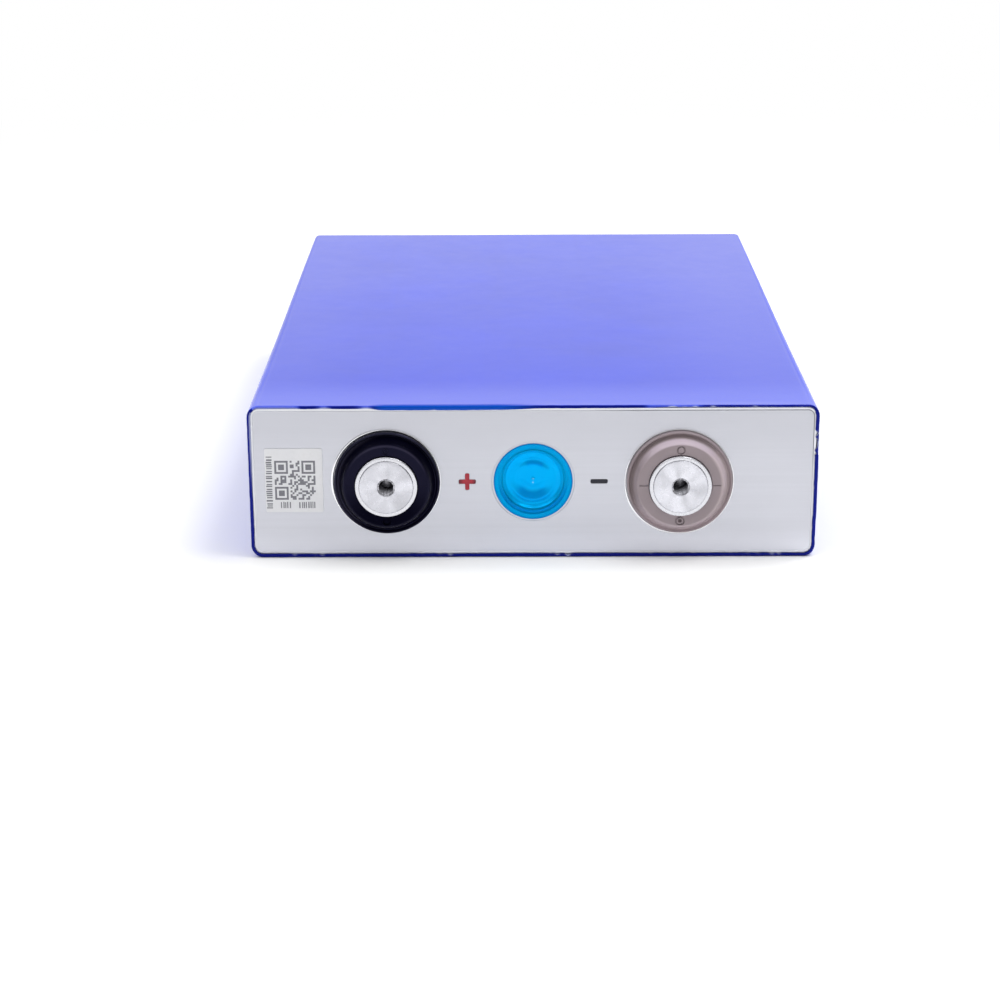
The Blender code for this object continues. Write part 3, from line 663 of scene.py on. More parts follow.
def plastic_material(name, base, rough, grain_mm=0.12, spread=0.12, sheen=0.4,
                     tint=(1.0, 1.0, 1.0), ring_x=None, bands=()):
    """Moulded plastic with a fine grain; spread is the depth of its cloudiness.

    sheen and tint: strength and colour of the reflection. bands: painted light and shade, see
    RING_BANDS, about ring_x.
    """
    mat = Material(name)
    cloud = mat.noise(scale=160.0, detail=3.0)
    speck = mat.noise(scale=1.6 / (grain_mm * MM), detail=3.0, roughness=0.6)
    colour = mat.mix(mat.span(cloud, 0.3, 0.7), base, scaled(base, 1 - spread))
    lighter = tuple(min(1.0, c * 1.22 + 0.002) for c in base)
    colour = mat.mix(mat.span(speck, 0.5, 0.75, 0.0, 0.35), colour, lighter)
    gloss = sheen
    if bands:
        x, z = mat.place(ring_x)
        away = mat.length(x, z)
    for inner, outer, soft, clock, start, full, strength, shade, shine in bands:
        angle = math.radians(clock)
        along = mat.plus(mat.times(x, math.sin(angle)), mat.times(z, math.cos(angle)))
        mask = mat.times(
            mat.rise(away, inner - soft, inner + soft),
            mat.fall(away, outer - soft, outer + soft),
            mat.rise(mat.math("DIVIDE", along, away), start, full, strength),
        )
        # painted light and shade on the band; some bands also lose shine
        if shade is not None:
            colour = mat.mix(mask, colour, shade)
        if shine is not None:
            gloss = mat.times(gloss, mat.span(mask, 0.0, 1.0, 1.0, shine))
    dust = mat.span(mat.noise(2600.0, 2.0), 0.76, 0.82, 0.0, 0.22)
    colour = mat.mix(dust, colour, (0.45, 0.45, 0.46))
    normal = mat.bump(speck, distance=0.000006)
    normal = mat.bump(cloud, distance=0.000012, strength=0.7, normal=normal)
    return mat.done(mat.principled(
        Base_Color=colour,
        Roughness=mat.span(speck, 0.3, 0.7, *rough),
        Specular_IOR_Level=gloss,
        Specular_Tint=tint,
        Normal=normal,
    ))


def paper_material(name):
    mat = Material(name)
    fibre = mat.noise(scale=900.0, detail=5.0, roughness=0.7)
    cloud = mat.noise(scale=120.0, detail=2.0)
    colour = mat.mix(mat.span(cloud, 0.3, 0.7), (0.80, 0.80, 0.82), (0.76, 0.76, 0.79))
    colour = mat.mix(mat.span(fibre, 0.5, 0.8, 0.0, 0.25), colour, (0.60, 0.60, 0.60))
    return mat.done(mat.principled(
        Base_Color=colour,
        Roughness=mat.span(fibre, 0.3, 0.7, 0.42, 0.6),
        Normal=mat.bump(fibre, distance=0.000008),
        Coat_Weight=0.15,
    ))


def ink_material(name, base, rough=0.4, dark_from=None):
    """Patchy ink. About the x given as dark_from it gets darker sideways."""
    mat = Material(name)
    patchy = mat.noise(scale=1500.0, detail=4.0, roughness=0.7)
    cloud = mat.noise(scale=300.0, detail=2.0)
    lighter = tuple(min(1.0, c * 1.5 + 0.01) for c in base)
    colour = mat.mix(mat.span(patchy, 0.45, 0.75, 0.0, 0.7), base, lighter)
    if dark_from is not None:
        along = mat.node("SeparateXYZ", Vector=mat.coord).outputs["X"]
        away = mat.absolute(mat.minus(along, dark_from))
        colour = mat.mix(mat.span(away, 0.0010, 0.0019, 0.0, 0.8), colour, (0.03, 0.008, 0.02))
    return mat.done(mat.principled(
        Base_Color=colour,
        Roughness=mat.span(cloud, 0.3, 0.7, rough, rough + 0.15),
        Normal=mat.bump(patchy, distance=0.000012),
    ))


# Painted light and shade on bands of the two plastic rings: inner radius, outer radius,
# softness (mm), clock angle (degrees), cosine to that angle at which the band starts and is
# full, strength, painted colour, share of the shine left
RING_BANDS = {
    "black": (
        (9.85, 11.25, 0.25, 0.0, 0.1, 0.8, 1.0, None, 0.12),
        (9.30, 9.72, 0.14, 5.0, 0.25, 0.95, 1.0, (0.024, 0.022, 0.038), None),
        (10.9, 12.2, 0.3, 275.0, 0.2, 0.8, 1.0, (0.024, 0.022, 0.038), None),
        (11.35, 12.2, 0.2, 350.0, -0.2, 0.7, 1.0, (0.009, 0.009, 0.016), None),
        (6.0, 9.5, 0.3, 180.0, -0.2, 0.9, 1.0, None, 0.20),
    ),
    "beige": (
        (9.66, 10.66, 0.18, 22.0, 0.0, 0.75, 0.85, (0.58, 0.485, 0.55), None),
        (10.60, 11.70, 0.20, 322.0, -0.1, 0.7, 0.52, (0.150, 0.115, 0.112), 0.4),
        (9.60, 11.60, 0.25, 180.0, 0.2, 0.9, 0.80, (0.52, 0.43, 0.46), None),
        (9.30, 11.30, 0.25, 90.0, 0.5, 0.95, 0.60, (0.52, 0.43, 0.44), None),
    ),
}
# rotations that lay the layers along Y and along Z
ALONG_Y, ALONG_Z = (0, 0, math.pi / 2), (0, math.pi / 2, 0)

MATERIALS = {
    "blue_film": film_material(
        "wrap_film", (0.0015, 0.045, 0.735), lip_dark=(0.0005, 0.006, 0.20)),
    "blue_patch": film_material(
        "patch_film", (0.0015, 0.042, 0.78), roughness=0.10, folds=True),
    "lid_aluminium": metal_material(
        "lid_brushed", (0.600, 0.606, 0.660), rough=(0.34, 0.46), brush=(60.0, 900.0, 5200.0),
        grain=0.6, tint=0.03, tones=lid_tones),
    "can_aluminium": metal_material(
        "can_drawn", (0.74, 0.75, 0.78), rough=(0.32, 0.46), brush=(5200.0, 60.0, 5200.0)),
    "terminal_aluminium": metal_material(
        "pole_face", (0.72, 0.72, 0.775), rough=(0.22, 0.38), grain=1.4, mottled=0.6,
        turned=0.4, tones=pole_tones),
    "collar_aluminium": metal_material(
        "collar_turned", (0.68, 0.68, 0.72), rough=(0.20, 0.34), grain=0.35, mottled=0.35,
        turned=0.3),
    "lid_edge": metal_material(
        "lid_edge_polished", (0.90, 0.90, 0.93), rough=(0.10, 0.20), grain=0.3),
    "vent_aluminium": metal_material(
        "vent_pressed", (0.90, 0.90, 0.92), rough=(0.30, 0.36), grain=0.04, tones=vent_tones),
    "copper": metal_material(
        "copper_plain", (0.80, 0.40, 0.26), rough=(0.26, 0.42), brush=(4200.0, 60.0, 4200.0)),
    "foil_aluminium": layered_material(
        "foil_stack_light", (0.80, 0.80, 0.82), (0.55, 0.55, 0.57), period_mm=0.05,
        turn=ALONG_Y, metallic=1.0, rough=0.42),
    "foil_copper": layered_material(
        "foil_stack_copper", (0.78, 0.38, 0.24), (0.50, 0.22, 0.13), period_mm=0.05,
        turn=ALONG_Y, metallic=1.0, rough=0.42),
    "black_plastic": plastic_material(
        "ring_black", (0.0008, 0.0007, 0.0050), rough=(0.28, 0.38), sheen=0.22,
        tint=(0.50, 0.48, 1.0), ring_x=POS_X, bands=RING_BANDS["black"]),
    "beige_plastic": plastic_material(
        "ring_beige", (0.320, 0.262, 0.280), rough=(0.40, 0.54), spread=0.06, sheen=0.35,
        ring_x=NEG_X, bands=RING_BANDS["beige"]),
    "seal_rubber": plastic_material(
        "seal_black", (0.018, 0.018, 0.019), rough=(0.62, 0.78), grain_mm=0.2),
    "insulator_plastic": plastic_material(
        "insulator_grey", (0.075, 0.075, 0.085), rough=(0.42, 0.55)),
    "plug_rubber": plastic_material(
        "plug_red", (0.30, 0.035, 0.03), rough=(0.5, 0.66), grain_mm=0.2),
    "spacer_plastic": plastic_material("spacer_white", (0.66, 0.66, 0.65), rough=(0.4, 0.52)),
    "roll_coating": layered_material(
        "electrode_layers", (0.050, 0.050, 0.055), (0.10, 0.095, 0.09), period_mm=0.18,
        turn=ALONG_Z, metallic=0.0, rough=0.62),
    "bag_film": film_material("bag_blue", (0.10, 0.24, 0.60), roughness=0.2),
    "label_paper": paper_material("label_stock"),
    "red_ink": ink_material("ink_red", (0.37, 0.012, 0.028), dark_from=PLUS_X),
    "black_ink": ink_material("ink_black", (0.006, 0.006, 0.016)),
    "vent_film_blue": vent_film_material("vent_cover"),
    "print_ink": ink_material("ink_grey", (0.185, 0.185, 0.21), rough=0.5),
}

# ------------------------------------------------------------------ outer film
FILM_T = 0.2
FILM_R = 2.8  # radius of the long edges at the lid
FILM_R_LOSS = 1.25  # how much sharper they are creased at the base
END_R = 1.2  # radius where the film turns over the base
CURL_R = 0.42  # radius of the lip
# the overlap of the wrap on the right-hand narrow side: its ends about mid height, its step
SEAM_Z, SEAM_END_Z, SEAM_STEP = 6.1, -9.0, 0.11
CURL_ROWS = 9
HEM_INSETS = [1.6, 2.1, 2.6, 2.79, 3.6, 4.6, 5.8, 7.2, 8.6, 10.0]

# keep: share of the lip's length left by nicks; curl: angle turned in (radians); top: height;
# reach: straight length after the curl; white, dim, vivid: painted highlight, strength of the
# lip's painted shade, painted lighter blue
Lip = namedtuple("Lip", "keep curl top reach white dim vivid")


def film_columns():
    """The outline of the film, with two more columns for the crisp step of the overlap."""
    columns = outline(FILM_W, FILM_H, FILM_R, 14, 0.8)
    below = [i for i, ((_, z), normal) in enumerate(columns) if normal[0] > 0.999 and z <= SEAM_Z]
    at = below[-1] + 1
    columns[at:at] = [((FILM_W / 2, z), (1.0, 0.0)) for z in (SEAM_Z - 0.02, SEAM_Z + 0.05)]
    return columns


def lip_at(column, along):
    """The lip at one column, which lies `along` mm round the outline."""
    (x, z), (out_x, out_z) = column
    fine = wobble(along * 1.7, 3.1) * 0.5 + wobble(along * 4.3, 7.7) * 0.5
    slow = wobble(along * 0.11, 1.3)
    curl, top, reach = 86.0, 0.38 + 0.06 * slow, 0.30 + 0.06 * slow
    # white is painted highlight, dim the strength of the lip's painted shade, vivid a painted
    # lighter blue
    nick, white, dim, vivid = 0.0, 0.0, 1.0, 0.0
    if out_z < 0.5:
        reach += 0.14
    if out_z > 0.8:  # upper edge, whose stretches follow each other along x
        faint = ease(-52.6, -54.0, x)  # hardly turned in at all
        dashed = ease(-54.0, -53.0, x) * ease(-35.0, -37.5, x)
        gap = max(math.exp(-(((x + 47.5) / 1.1) ** 2)), math.exp(-(((x + 37.8) / 1.6) ** 2)))
        vivid = ease(-37.5, -33.5, x) * ease(3.0, -9.0, x)
        purple = ease(24.5, 27.0, x) * ease(39.5, 36.5, x)
        right = ease(16.0, 26.0, x) * ease(60.0, 50.0, x)
        proud = ease(26.0, 31.0, x)  # stands off the lid, whose painted bright border shows under it
        spot = ease(0.10, 0.34, wobble(along * 0.75, 14.2)) * ease(-0.1, 0.2, fine)
        curl -= 8.0 * faint + 20.0 * dashed * gap + 26.0 * proud
        top += 0.16 * vivid - 0.20 * faint + 0.04 * proud + 0.05 * right * spot
        reach += 0.26 * vivid - 0.08 * faint - 0.06 * ease(3.0, 12.0, x) - 0.10 * proud
        dim = max(0.0, 1.0 - 0.92 * faint - 0.85 * dashed * gap - 0.70 * purple)
        nick += right * spot * 0.06
        white += 1.5 * right * spot + 0.30 * faint + 0.75 * dashed * gap
    elif out_z < -0.8:  # lower edge, ragged in places
        rag = ease(0.02, 0.28, wobble(along * 0.23, 5.2))
        nick += rag * ease(0.0, 0.3, fine) * 0.30
        white += rag * ease(0.08, 0.32, fine) * 1.2
        top += 0.05 * wobble(along * 0.35, 2.0)
    elif out_x > 0.8:  # right-hand edge, ragged above the overlap
        rag = ease(SEAM_Z - 0.3, SEAM_Z + 0.4, z) * (1 - ease(12.5, 14.5, z))
        nick += rag * ease(-0.15, 0.2, fine) * 0.7
        white += rag * ease(0.0, 0.25, fine)
        top -= 0.06 * rag
    else:
        top += 0.03 * wobble(along * 0.5, 8.0)
        if out_x < -0.8:  # a painted highlight on the cut end on the upper left
            white += 0.55 * ease(-4.0, 10.0, z)
            reach -= 0.05 * ease(-12.0, 0.0, z) * ease(12.0, 2.0, z)
    nick += 0.06 * ease(0.1, 0.4, fine)
    curl = math.radians(max(18.0, curl))
    return Lip(max(0.12, 1 - nick), curl, top, reach, min(1.0, white), dim, vivid)


def film_sink(x, z, out_x, out_z, depth):
    """How far the film stands out (negative: sinks towards the can), with the overlap's step."""
    big = wobble(x * 0.028 + 4, depth * 0.021, z * 0.05) * 0.060
    mid = wobble(x * 0.09 + 9, depth * 0.055 + 3, z * 0.11) * 0.015
    mid += wobble(x * 0.24 + 2, depth * 0.16 + 8, z * 0.24) * 0.0025
    near = math.exp(-max(0.0, depth) / 1.8)
    ripple = wobble(x * 0.55, 2.2, z * 0.55) * 0.045 * near
    corner = 1 - abs(abs(out_x) - abs(out_z))
    calm = 1 - 0.85 * ease(0.02, 0.5, corner)  # the film is tight over the edges
    if abs(out_z) > 0.9:
        from_edge = ease(0.0, 10.0, FILM_W / 2 - abs(x))
    else:
        from_edge = ease(0.0, 6.0, FILM_H / 2 - abs(z))
    loose = 0.012 + (0.03 + big + mid) * calm * (0.15 + 0.85 * from_edge)
    wave = -loose * ease(-0.5, 3.0, depth) + ripple * calm - 0.02 * near
    if out_x < 0.5:
        return wave
    low = ease(SEAM_END_Z - 0.8, SEAM_END_Z + 0.8, z)
    high = 1.0 if z <= SEAM_Z - 0.01 else 0.0
    return wave - SEAM_STEP * (1 - low * high) * ease(0.7, 0.98, out_x)


def tapered(x, z, out_x, out_z, depth):
    """The long edges are creased sharper towards the base."""
    radius = FILM_R - FILM_R_LOSS * ease(40.0, FILM_LENGTH, depth)
    scale_x = (FILM_W / 2 - radius) / (FILM_W / 2 - FILM_R)
    scale_z = (FILM_H / 2 - radius) / (FILM_H / 2 - FILM_R)
    return ((x - out_x * FILM_R) * scale_x + out_x * radius,
            (z - out_z * FILM_R) * scale_z + out_z * radius)


# Each of these places one point: x and z in mm, y in metres, then, where they are not 0, the
# lip, whiten, pale and vivid attributes: painted shade on the lip, painted highlights, a painted
# paler reflection on the top and a painted lighter blue. inside is how far within the outer
# surface it lies.


def lip_point(x, z, out_x, out_z, lip, inside, along):
    """along is 0 at the cut end and 1 at the start of the straight wall."""
    run = (CURL_R * lip.curl + lip.reach) * lip.keep * (1 - along)
    arc = min(run, CURL_R * lip.curl)
    bend = arc / CURL_R
    beyond = max(0.0, run - arc)
    inward = CURL_R * (1 - math.cos(bend)) + beyond * math.sin(lip.curl)
    height = lip.top - CURL_R * math.sin(lip.curl)
    height += CURL_R * math.sin(bend) + beyond * math.cos(lip.curl)
    inward += inside * math.cos(bend)
    height -= inside * math.sin(bend)
    move = film_sink(x, z, out_x, out_z, -0.3) - inward
    # painted shade on the lip (edge), painted highlights at the cut end and a painted paler
    # reflection on the top (pale)
    edge = max(ease(1.0, 0.66, along) * lip.dim, ease(0.8, 0.3, out_z) * ease(1.25, 0.95, along))
    pale = 0.86 * ease(0.6, 0.95, out_z) * (1 - edge)
    return (x + out_x * move, LID_Y - height * MM, z + out_z * move, edge,
            lip.white * ease(0.42, 0.06, along), pale * (1 - lip.vivid),
            lip.vivid * ease(1.3, 0.9, along))


def wall_point(x, z, out_x, out_z, lip, inside, depth):
    move = film_sink(x, z, out_x, out_z, depth) - inside
    at_seam = out_x > 0.99 and abs(z - SEAM_Z) < 0.2
    x, z = tapered(x, z, out_x, out_z, depth)
    if at_seam:
        z += 0.10 * wobble(depth * 0.09, 6.0)
    # the height of the lip's root is evened out over the first 4 mm
    root = lip.top - CURL_R * math.sin(lip.curl)
    y = LID_Y + (depth - root * max(0.0, 1 - depth / 4.0)) * MM
    # the lip's painted shade, the painted paler reflection and the painted lighter blue run onto
    # the wall
    edge = 0.75 * ease(0.8, 0.3, out_z) * ease(0.5, 0.05, depth)
    pale = 0.86 * ease(0.6, 0.95, out_z) * ease(24.0, 3.0, depth)
    blue = lip.vivid * ease(1.5, 0.2, depth)
    return x + out_x * move, y, z + out_z * move, edge, 0.0, pale * (1 - blue), blue


def turn_point(x, z, out_x, out_z, lip, inside, angle):
    radius = END_R - inside
    inward = radius * (1 - math.cos(angle)) + inside
    move = film_sink(x, z, out_x, out_z, FILM_LENGTH) * math.cos(angle) - inward
    x, z = tapered(x, z, out_x, out_z, FILM_LENGTH)
    y = film_hi.y - (END_R - radius * math.sin(angle)) * MM
    return x + out_x * move, y, z + out_z * move


def hem_point(x, z, out_x, out_z, lip, inside, inset):
    x, z = x - out_x * inset, z - out_z * inset
    if inset > FILM_R:
        x = max(-(FILM_W / 2 - inset), min(FILM_W / 2 - inset, x))
        z = max(-(FILM_H / 2 - inset), min(FILM_H / 2 - inset, z))
    narrow_side = abs(out_x) > abs(out_z) + 1e-9  # its flap lies under the others
    under = 0.10 * ease(1.2, 1.7, inset) if narrow_side else 0.0
    crease = 0.02 * wobble(x * 0.4, 3.0, z * 0.4) * ease(1.2, 2.0, inset)
    return x, film_hi.y - (inside + under + abs(crease)) * MM, z


def build_film():
    columns = film_columns()
    lips = []
    along = 0.0
    for i, column in enumerate(columns):
        lips.append(lip_at(column, along))
        along += math.dist(column[0], columns[(i + 1) % len(columns)][0])
    wall_depths = [0.05, 0.15, 0.3, 0.5, 0.8, 1.2, 1.7, 2.3, 3.0, 4.0]  # dense near the lip
    while wall_depths[-1] < FILM_LENGTH - END_R - 2.0:
        wall_depths.append(wall_depths[-1] + 1.55)
    wall_depths.append(FILM_LENGTH - END_R)
    outer = [(lip_point, k / CURL_ROWS) for k in range(CURL_ROWS + 1)]
    outer += [(wall_point, depth) for depth in wall_depths]
    outer += [(turn_point, math.radians(a)) for a in (15, 30, 45, 60, 75, 90)]
    outer += [(hem_point, inset) for inset in HEM_INSETS]
    inner = [(hem_point, inset) for inset in reversed(HEM_INSETS)]
    inner += [(turn_point, math.radians(a)) for a in (90, 60, 30, 0)]
    inner += [(wall_point, depth) for depth in reversed(wall_depths[::4])]
    inner += [(lip_point, k / 4) for k in (4, 3, 2, 1, 0)]
    verts, shades, rows = [], [], []
    for stations, inside in ((outer, 0.0), (inner, FILM_T)):
        for point, value in stations:
            first = len(verts)
            for ((x, z), normal), lip in zip(columns, lips):
                at_x, y, at_z, *shade = point(x, z, *normal, lip, inside, value)
                verts.append((at_x * MM, y, MID_Z + at_z * MM))
                shades.append(shade or (0.0, 0.0, 0.0, 0.0))
            rows.append(list(range(first, len(verts))))
    # painted shade, painted highlights, painted paler reflection, painted lighter blue
    attributes = dict(zip(("lip", "whiten", "pale", "vivid"), zip(*shades)))
    add_piece("wrap_film", verts, strip_faces(rows + [rows[0]]), "blue_film", ("outer_film",),
              angle=38, weld=1e-7, attributes=attributes)


build_film()

# ------------------------------------------------------------------ end patch


def patch_relief(x, z):
    """The folded hem under the patch shows as soft steps."""
    from_x, from_z = FILM_W / 2 - abs(x), FILM_H / 2 - abs(z)
    flap = 1.0 - ease(9.6, 10.5, min(from_x, from_z))
    over = ease(-0.35, 0.35, from_x - from_z)
    ridge = math.exp(-(((from_x - from_z) / 0.7) ** 2)) * flap
    soft = wobble(x * 0.12, 1.0, z * 0.12) * 0.012 + wobble(x * 0.5, 4.0, z * 0.5) * 0.005
    return -0.105 * (1 - flap) - 0.050 * (1 - over) * flap + 0.014 * ridge + soft - 0.022


def build_patch():
    """The end patch: a thin sheet over the base."""
    width, height = (patch_hi.x - patch_lo.x) / MM, (patch_hi.z - patch_lo.z) / MM
    corner = 1.5
    half = height / 2
    edge_drops = {0.0: 0.10, 0.05: 0.03}  # inset: how far the rounded edge lies back
    ring = outline(width, height, corner, 8, 1.0)
    verts, rows = [], []

    def clamped(x, z, inset):
        return (max(-(width / 2 - inset), min(width / 2 - inset, x)),
                max(-(half - inset), min(half - inset, z)))

    def add_row(points):
        rows.append(list(range(len(verts), len(verts) + len(points))))
        verts.extend(points)

    insets = [0.0, 0.05, 0.12] + [0.5 + 0.62 * k for k in range(25)]
    for inset in [d for d in insets if d < half - 0.3] + [half]:
        row = []
        for (x, z), (out_x, out_z) in ring:
            if inset > corner:
                x, z = clamped(x, z, inset)
            else:
                x, z = x - out_x * inset, z - out_z * inset
            y = patch_hi.y + (patch_relief(x, z) - edge_drops.get(inset, 0.0)) * MM
            row.append((x * MM, y, MID_Z + z * MM))
        add_row(row)
    for inset in (0.0, half):
        flat = [clamped(x, z, inset) for (x, z), _ in ring]
        add_row([(x * MM, patch_lo.y, MID_Z + z * MM) for x, z in flat])
    faces = strip_faces([rows[-1], rows[-2]] + rows[:-2])
    add_piece("end_patch", verts, faces, "blue_patch", ("base_patch",), angle=40, weld=1e-7)


build_patch()

# ------------------------------------------------------------------ lid
VENT_OPEN, VENT_SEAT, VENT_GROOVE = 7.15, 9.5, 7.66  # radii
RECESS_R = 12.34
FILL_R = 3.6
LID_EDGE_R = 0.22
MARK_LENGTH, MARK_STROKE, MARK_GAP = 3.95, 1.0, 0.14
# the terminal recesses lie a little off the terminals
POS_RECESS = (POS_X - 0.13 * MM, MID_Z + 0.03 * MM)
NEG_RECESS = (NEG_X - 0.05 * MM, MID_Z - 0.06 * MM)


def edge_arc(radius, edge, steps=4):
    """The top of a cutter that leaves a rounded edge round a hole."""
    out = [(0.0, 0.5), (radius + edge + 0.3, 0.5), (radius + edge * 0.80, 0.012)]
    for k in range(1, steps + 1):
        angle = math.radians(90.0 * k / steps)
        out.append((radius + edge - edge * math.sin(angle), -edge + edge * math.cos(angle)))
    return out


def minus_shape(length, stroke, corner):
    x, z = length / 2, stroke / 2
    return soften([(-x, -z), (x, -z), (x, z), (-x, z)], corner, True, 5)


def plus_shape(length, stroke, corner):
    a, b = length / 2, stroke / 2
    points = [(-b, -a), (b, -a), (b, -b), (a, -b), (a, b), (b, b),
              (b, a), (-b, a), (-b, b), (-a, b), (-a, -b), (-b, -b)]
    radii = {i: (corner if i % 3 != 2 else 0.10) for i in range(12)}
    return soften(points, radii, True, 5)


def build_lid():
    # (height, inset) from the front face over the weld line and the edge to the spigot
    path = [(0.0, 0.80), (-0.06, 0.75), (-0.06, 0.67), (0.0, 0.62)]
    for degrees in (0, 22.5, 45, 67.5, 90):
        angle = math.radians(degrees)
        path.append((-LID_EDGE_R * (1 - math.cos(angle)), LID_EDGE_R * (1 - math.sin(angle))))
    path += [(-1.2, 0.0), (-1.85, 0.0), (-2.0, 0.15), (-2.0, 0.95), (-2.85, 0.95), (-3.0, 1.1)]
    verts, rows = [], []
    for height, inset in path:
        row = []
        for (x, z), (out_x, out_z) in outline(LID_W, LID_H, LID_CORNER, 14):
            row.append(len(verts))
            verts.append(((x - out_x * inset) * MM, LID_Y - height * MM,
                          MID_Z + (z - out_z * inset) * MM))
        rows.append(row)
    faces = strip_faces(rows) + [tuple(rows[0]), tuple(reversed(rows[-1]))]
    body = loose_mesh("lid_body", verts, faces)

    # cutter profiles: (radius, height)
    recess = edge_arc(RECESS_R, 0.15) + [
        (RECESS_R, -0.35), (12.29, -0.4), (5.08, -0.4), (5.0, -0.48), (5.0, -3.5), (0.0, -3.5)]
    vent = edge_arc(VENT_SEAT, 0.07) + [
        (VENT_SEAT, -0.12), (VENT_SEAT - 0.03, -0.15),
        (VENT_GROOVE + 0.34, -0.15), (VENT_GROOVE + 0.24, -0.22), (VENT_GROOVE + 0.20, -0.72),
        (VENT_GROOVE - 0.16, -0.72), (VENT_GROOVE - 0.20, -0.34), (VENT_GROOVE - 0.26, -0.24),
        (VENT_OPEN + 0.10, -0.24), (VENT_OPEN, -0.34), (VENT_OPEN, -2.15),
        (8.3, -2.2), (8.3, -3.5), (0.0, -3.5)]
    fill = edge_arc(FILL_R, 0.1) + [
        (FILL_R, -0.75), (1.72, -0.75), (1.6, -0.87), (1.6, -3.5), (0.0, -3.5)]
    mark_size = (MARK_LENGTH + MARK_GAP, MARK_STROKE + MARK_GAP)
    cutters = [
        revolve(recess, 160, *POS_RECESS),
        revolve(recess, 160, *NEG_RECESS),
        revolve(vent, 160, VENT_X),
        revolve(fill, 96, FILL_X),
        prism(minus_shape(*mark_size, 0.4), 0.5, -0.1, MINUS_X),
        prism(plus_shape(*mark_size, 0.36), 0.5, -0.1, PLUS_X),
    ]
    made = carve(body, cutters, "lid")
    finish_piece("lid", made, "lid_aluminium", ("lid_plate",), angle=35)


build_lid()


def build_recess_edge(name, centre, broad_from, broad_to):
    """The rolled edge of a terminal recess, broader over one stretch of clock angle."""
    mid, half = (broad_from + broad_to) / 2, (broad_to - broad_from) / 2
    crest = 12.36

    def shape(angle, radius, height):
        away = abs((math.degrees(angle) % 360 - mid + 180) % 360 - 180)
        full = ease(half + 22, half - 12, away)
        least = 0.25 if radius < 12.35 else 0.40
        radius = crest + (radius - crest) * (least + (1 - least) * full)
        return radius, height * (0.35 + 0.65 * full) if height > 0.01 else height

    points = [(12.14, -0.22), (12.14, 0.02), (12.30, 0.11), (12.48, 0.09),
              (12.66, 0.004), (12.32, 0.004), (12.30, -0.22)]
    profile = soften(points, {1: 0.05, 2: 0.08, 3: 0.08}, True, 4)
    add_piece(name, *revolve(profile, 200, *centre, shape), "lid_aluminium", angle=40,
              material="lid_edge")


build_recess_edge("recess_edge_positive", POS_RECESS, 252, 345)
build_recess_edge("recess_edge_negative", NEG_RECESS, 150, 250)

# ------------------------------------------------------------------ marks
for mark_name, points, x, slot, node in (
    ("mark_positive", plus_shape(MARK_LENGTH, MARK_STROKE, 0.30), PLUS_X, "red_ink", "plus_mark"),
    ("mark_negative", minus_shape(MARK_LENGTH, MARK_STROKE, 0.34), MINUS_X, "black_ink",
     "minus_mark"),
):
    mark = prism(points, front=0.035, back=-0.06, x=x, bevel=0.05)
    add_piece(mark_name, *mark, slot, (node,), angle=40)

# ------------------------------------------------------------------ terminal rings
RING_PROFILE = [  # (radius, height)
    (7.22, 3.55), (9.55, 3.55), (10.03, 3.22), (10.42, 2.15), (10.90, 1.10), (11.14, 0.84),
    (11.36, 0.92), (11.60, 1.26), (11.88, 1.32), (12.1, 1.05), (12.1, -0.3), (5.0, -0.3),
    (5.0, 1.0), (9.12, 1.0), (9.12, 2.12), (7.22, 2.12),
]
RING_CORNERS = {0: 0.10, 1: 0.50, 2: 0.40, 3: 1.2, 4: 0.5, 5: 0.16, 6: 0.16, 7: 0.25, 8: 0.20,
                9: 0.25, 10: 0.08, 11: 0.05, "all": 0.04}
SUNK_TOP = 4.5  # the cutters start above the ring face
SUNK_HIGH, SUNK_LOW = MID_Z + 8.4 * MM, MID_Z - 8.4 * MM  # at 12 and at 6 o'clock
SUNK_SIDE = 8.35  # the thin slots at 3 and 9 o'clock


def round_tool(x, z, radius, bottom, inner=0.0):
    """A small round cutter along Y, or a tube when inner is set."""
    if inner:
        profile = [(inner, SUNK_TOP), (radius, SUNK_TOP), (radius, bottom), (inner, bottom)]
    else:
        profile = [(0.0, SUNK_TOP), (radius, SUNK_TOP), (radius, bottom + 0.05),
                   (radius - 0.05, bottom), (0.0, bottom)]
    return revolve(profile, 40, x, z)


def box_tool(x0, x1, z0, z1, bottom):
    return prism([(x0, z0), (x1, z0), (x1, z1), (x0, z1)], SUNK_TOP, bottom)


def side_slots(x, left, right, half_height, bottom):
    centres = [x / MM + side * SUNK_SIDE for side in (-1, 1)]
    return [box_tool(c - left, c + right, -half_height, half_height, bottom) for c in centres]


def build_ring(name, node, x, slot, cutters):
    body = loose_mesh(name, *revolve(soften(RING_PROFILE, RING_CORNERS, True, 6), 192, x))
    finish_piece(name, carve(body, cutters, name), slot, (node,), angle=32)


build_ring("ring_positive", "positive_ring", POS_X, "black_plastic", [
    round_tool(POS_X, SUNK_HIGH, radius=0.80, bottom=3.36, inner=0.52),
    box_tool(POS_X / MM - 0.14, POS_X / MM + 0.16, 7.5, 8.5, bottom=3.25),
    round_tool(POS_X, SUNK_LOW, radius=0.98, bottom=2.95),
    *side_slots(POS_X, left=0.9, right=0.9, half_height=0.05, bottom=3.50),
])
build_ring("ring_negative", "negative_ring", NEG_X, "beige_plastic", [
    round_tool(NEG_X, SUNK_HIGH, radius=0.98, bottom=3.22, inner=0.66),
    round_tool(NEG_X, SUNK_LOW, radius=1.10, bottom=3.18, inner=0.74),
    round_tool(NEG_X, SUNK_LOW, radius=0.44, bottom=2.95),
    *side_slots(NEG_X, left=1.0, right=0.9, half_height=0.10, bottom=3.28),
])

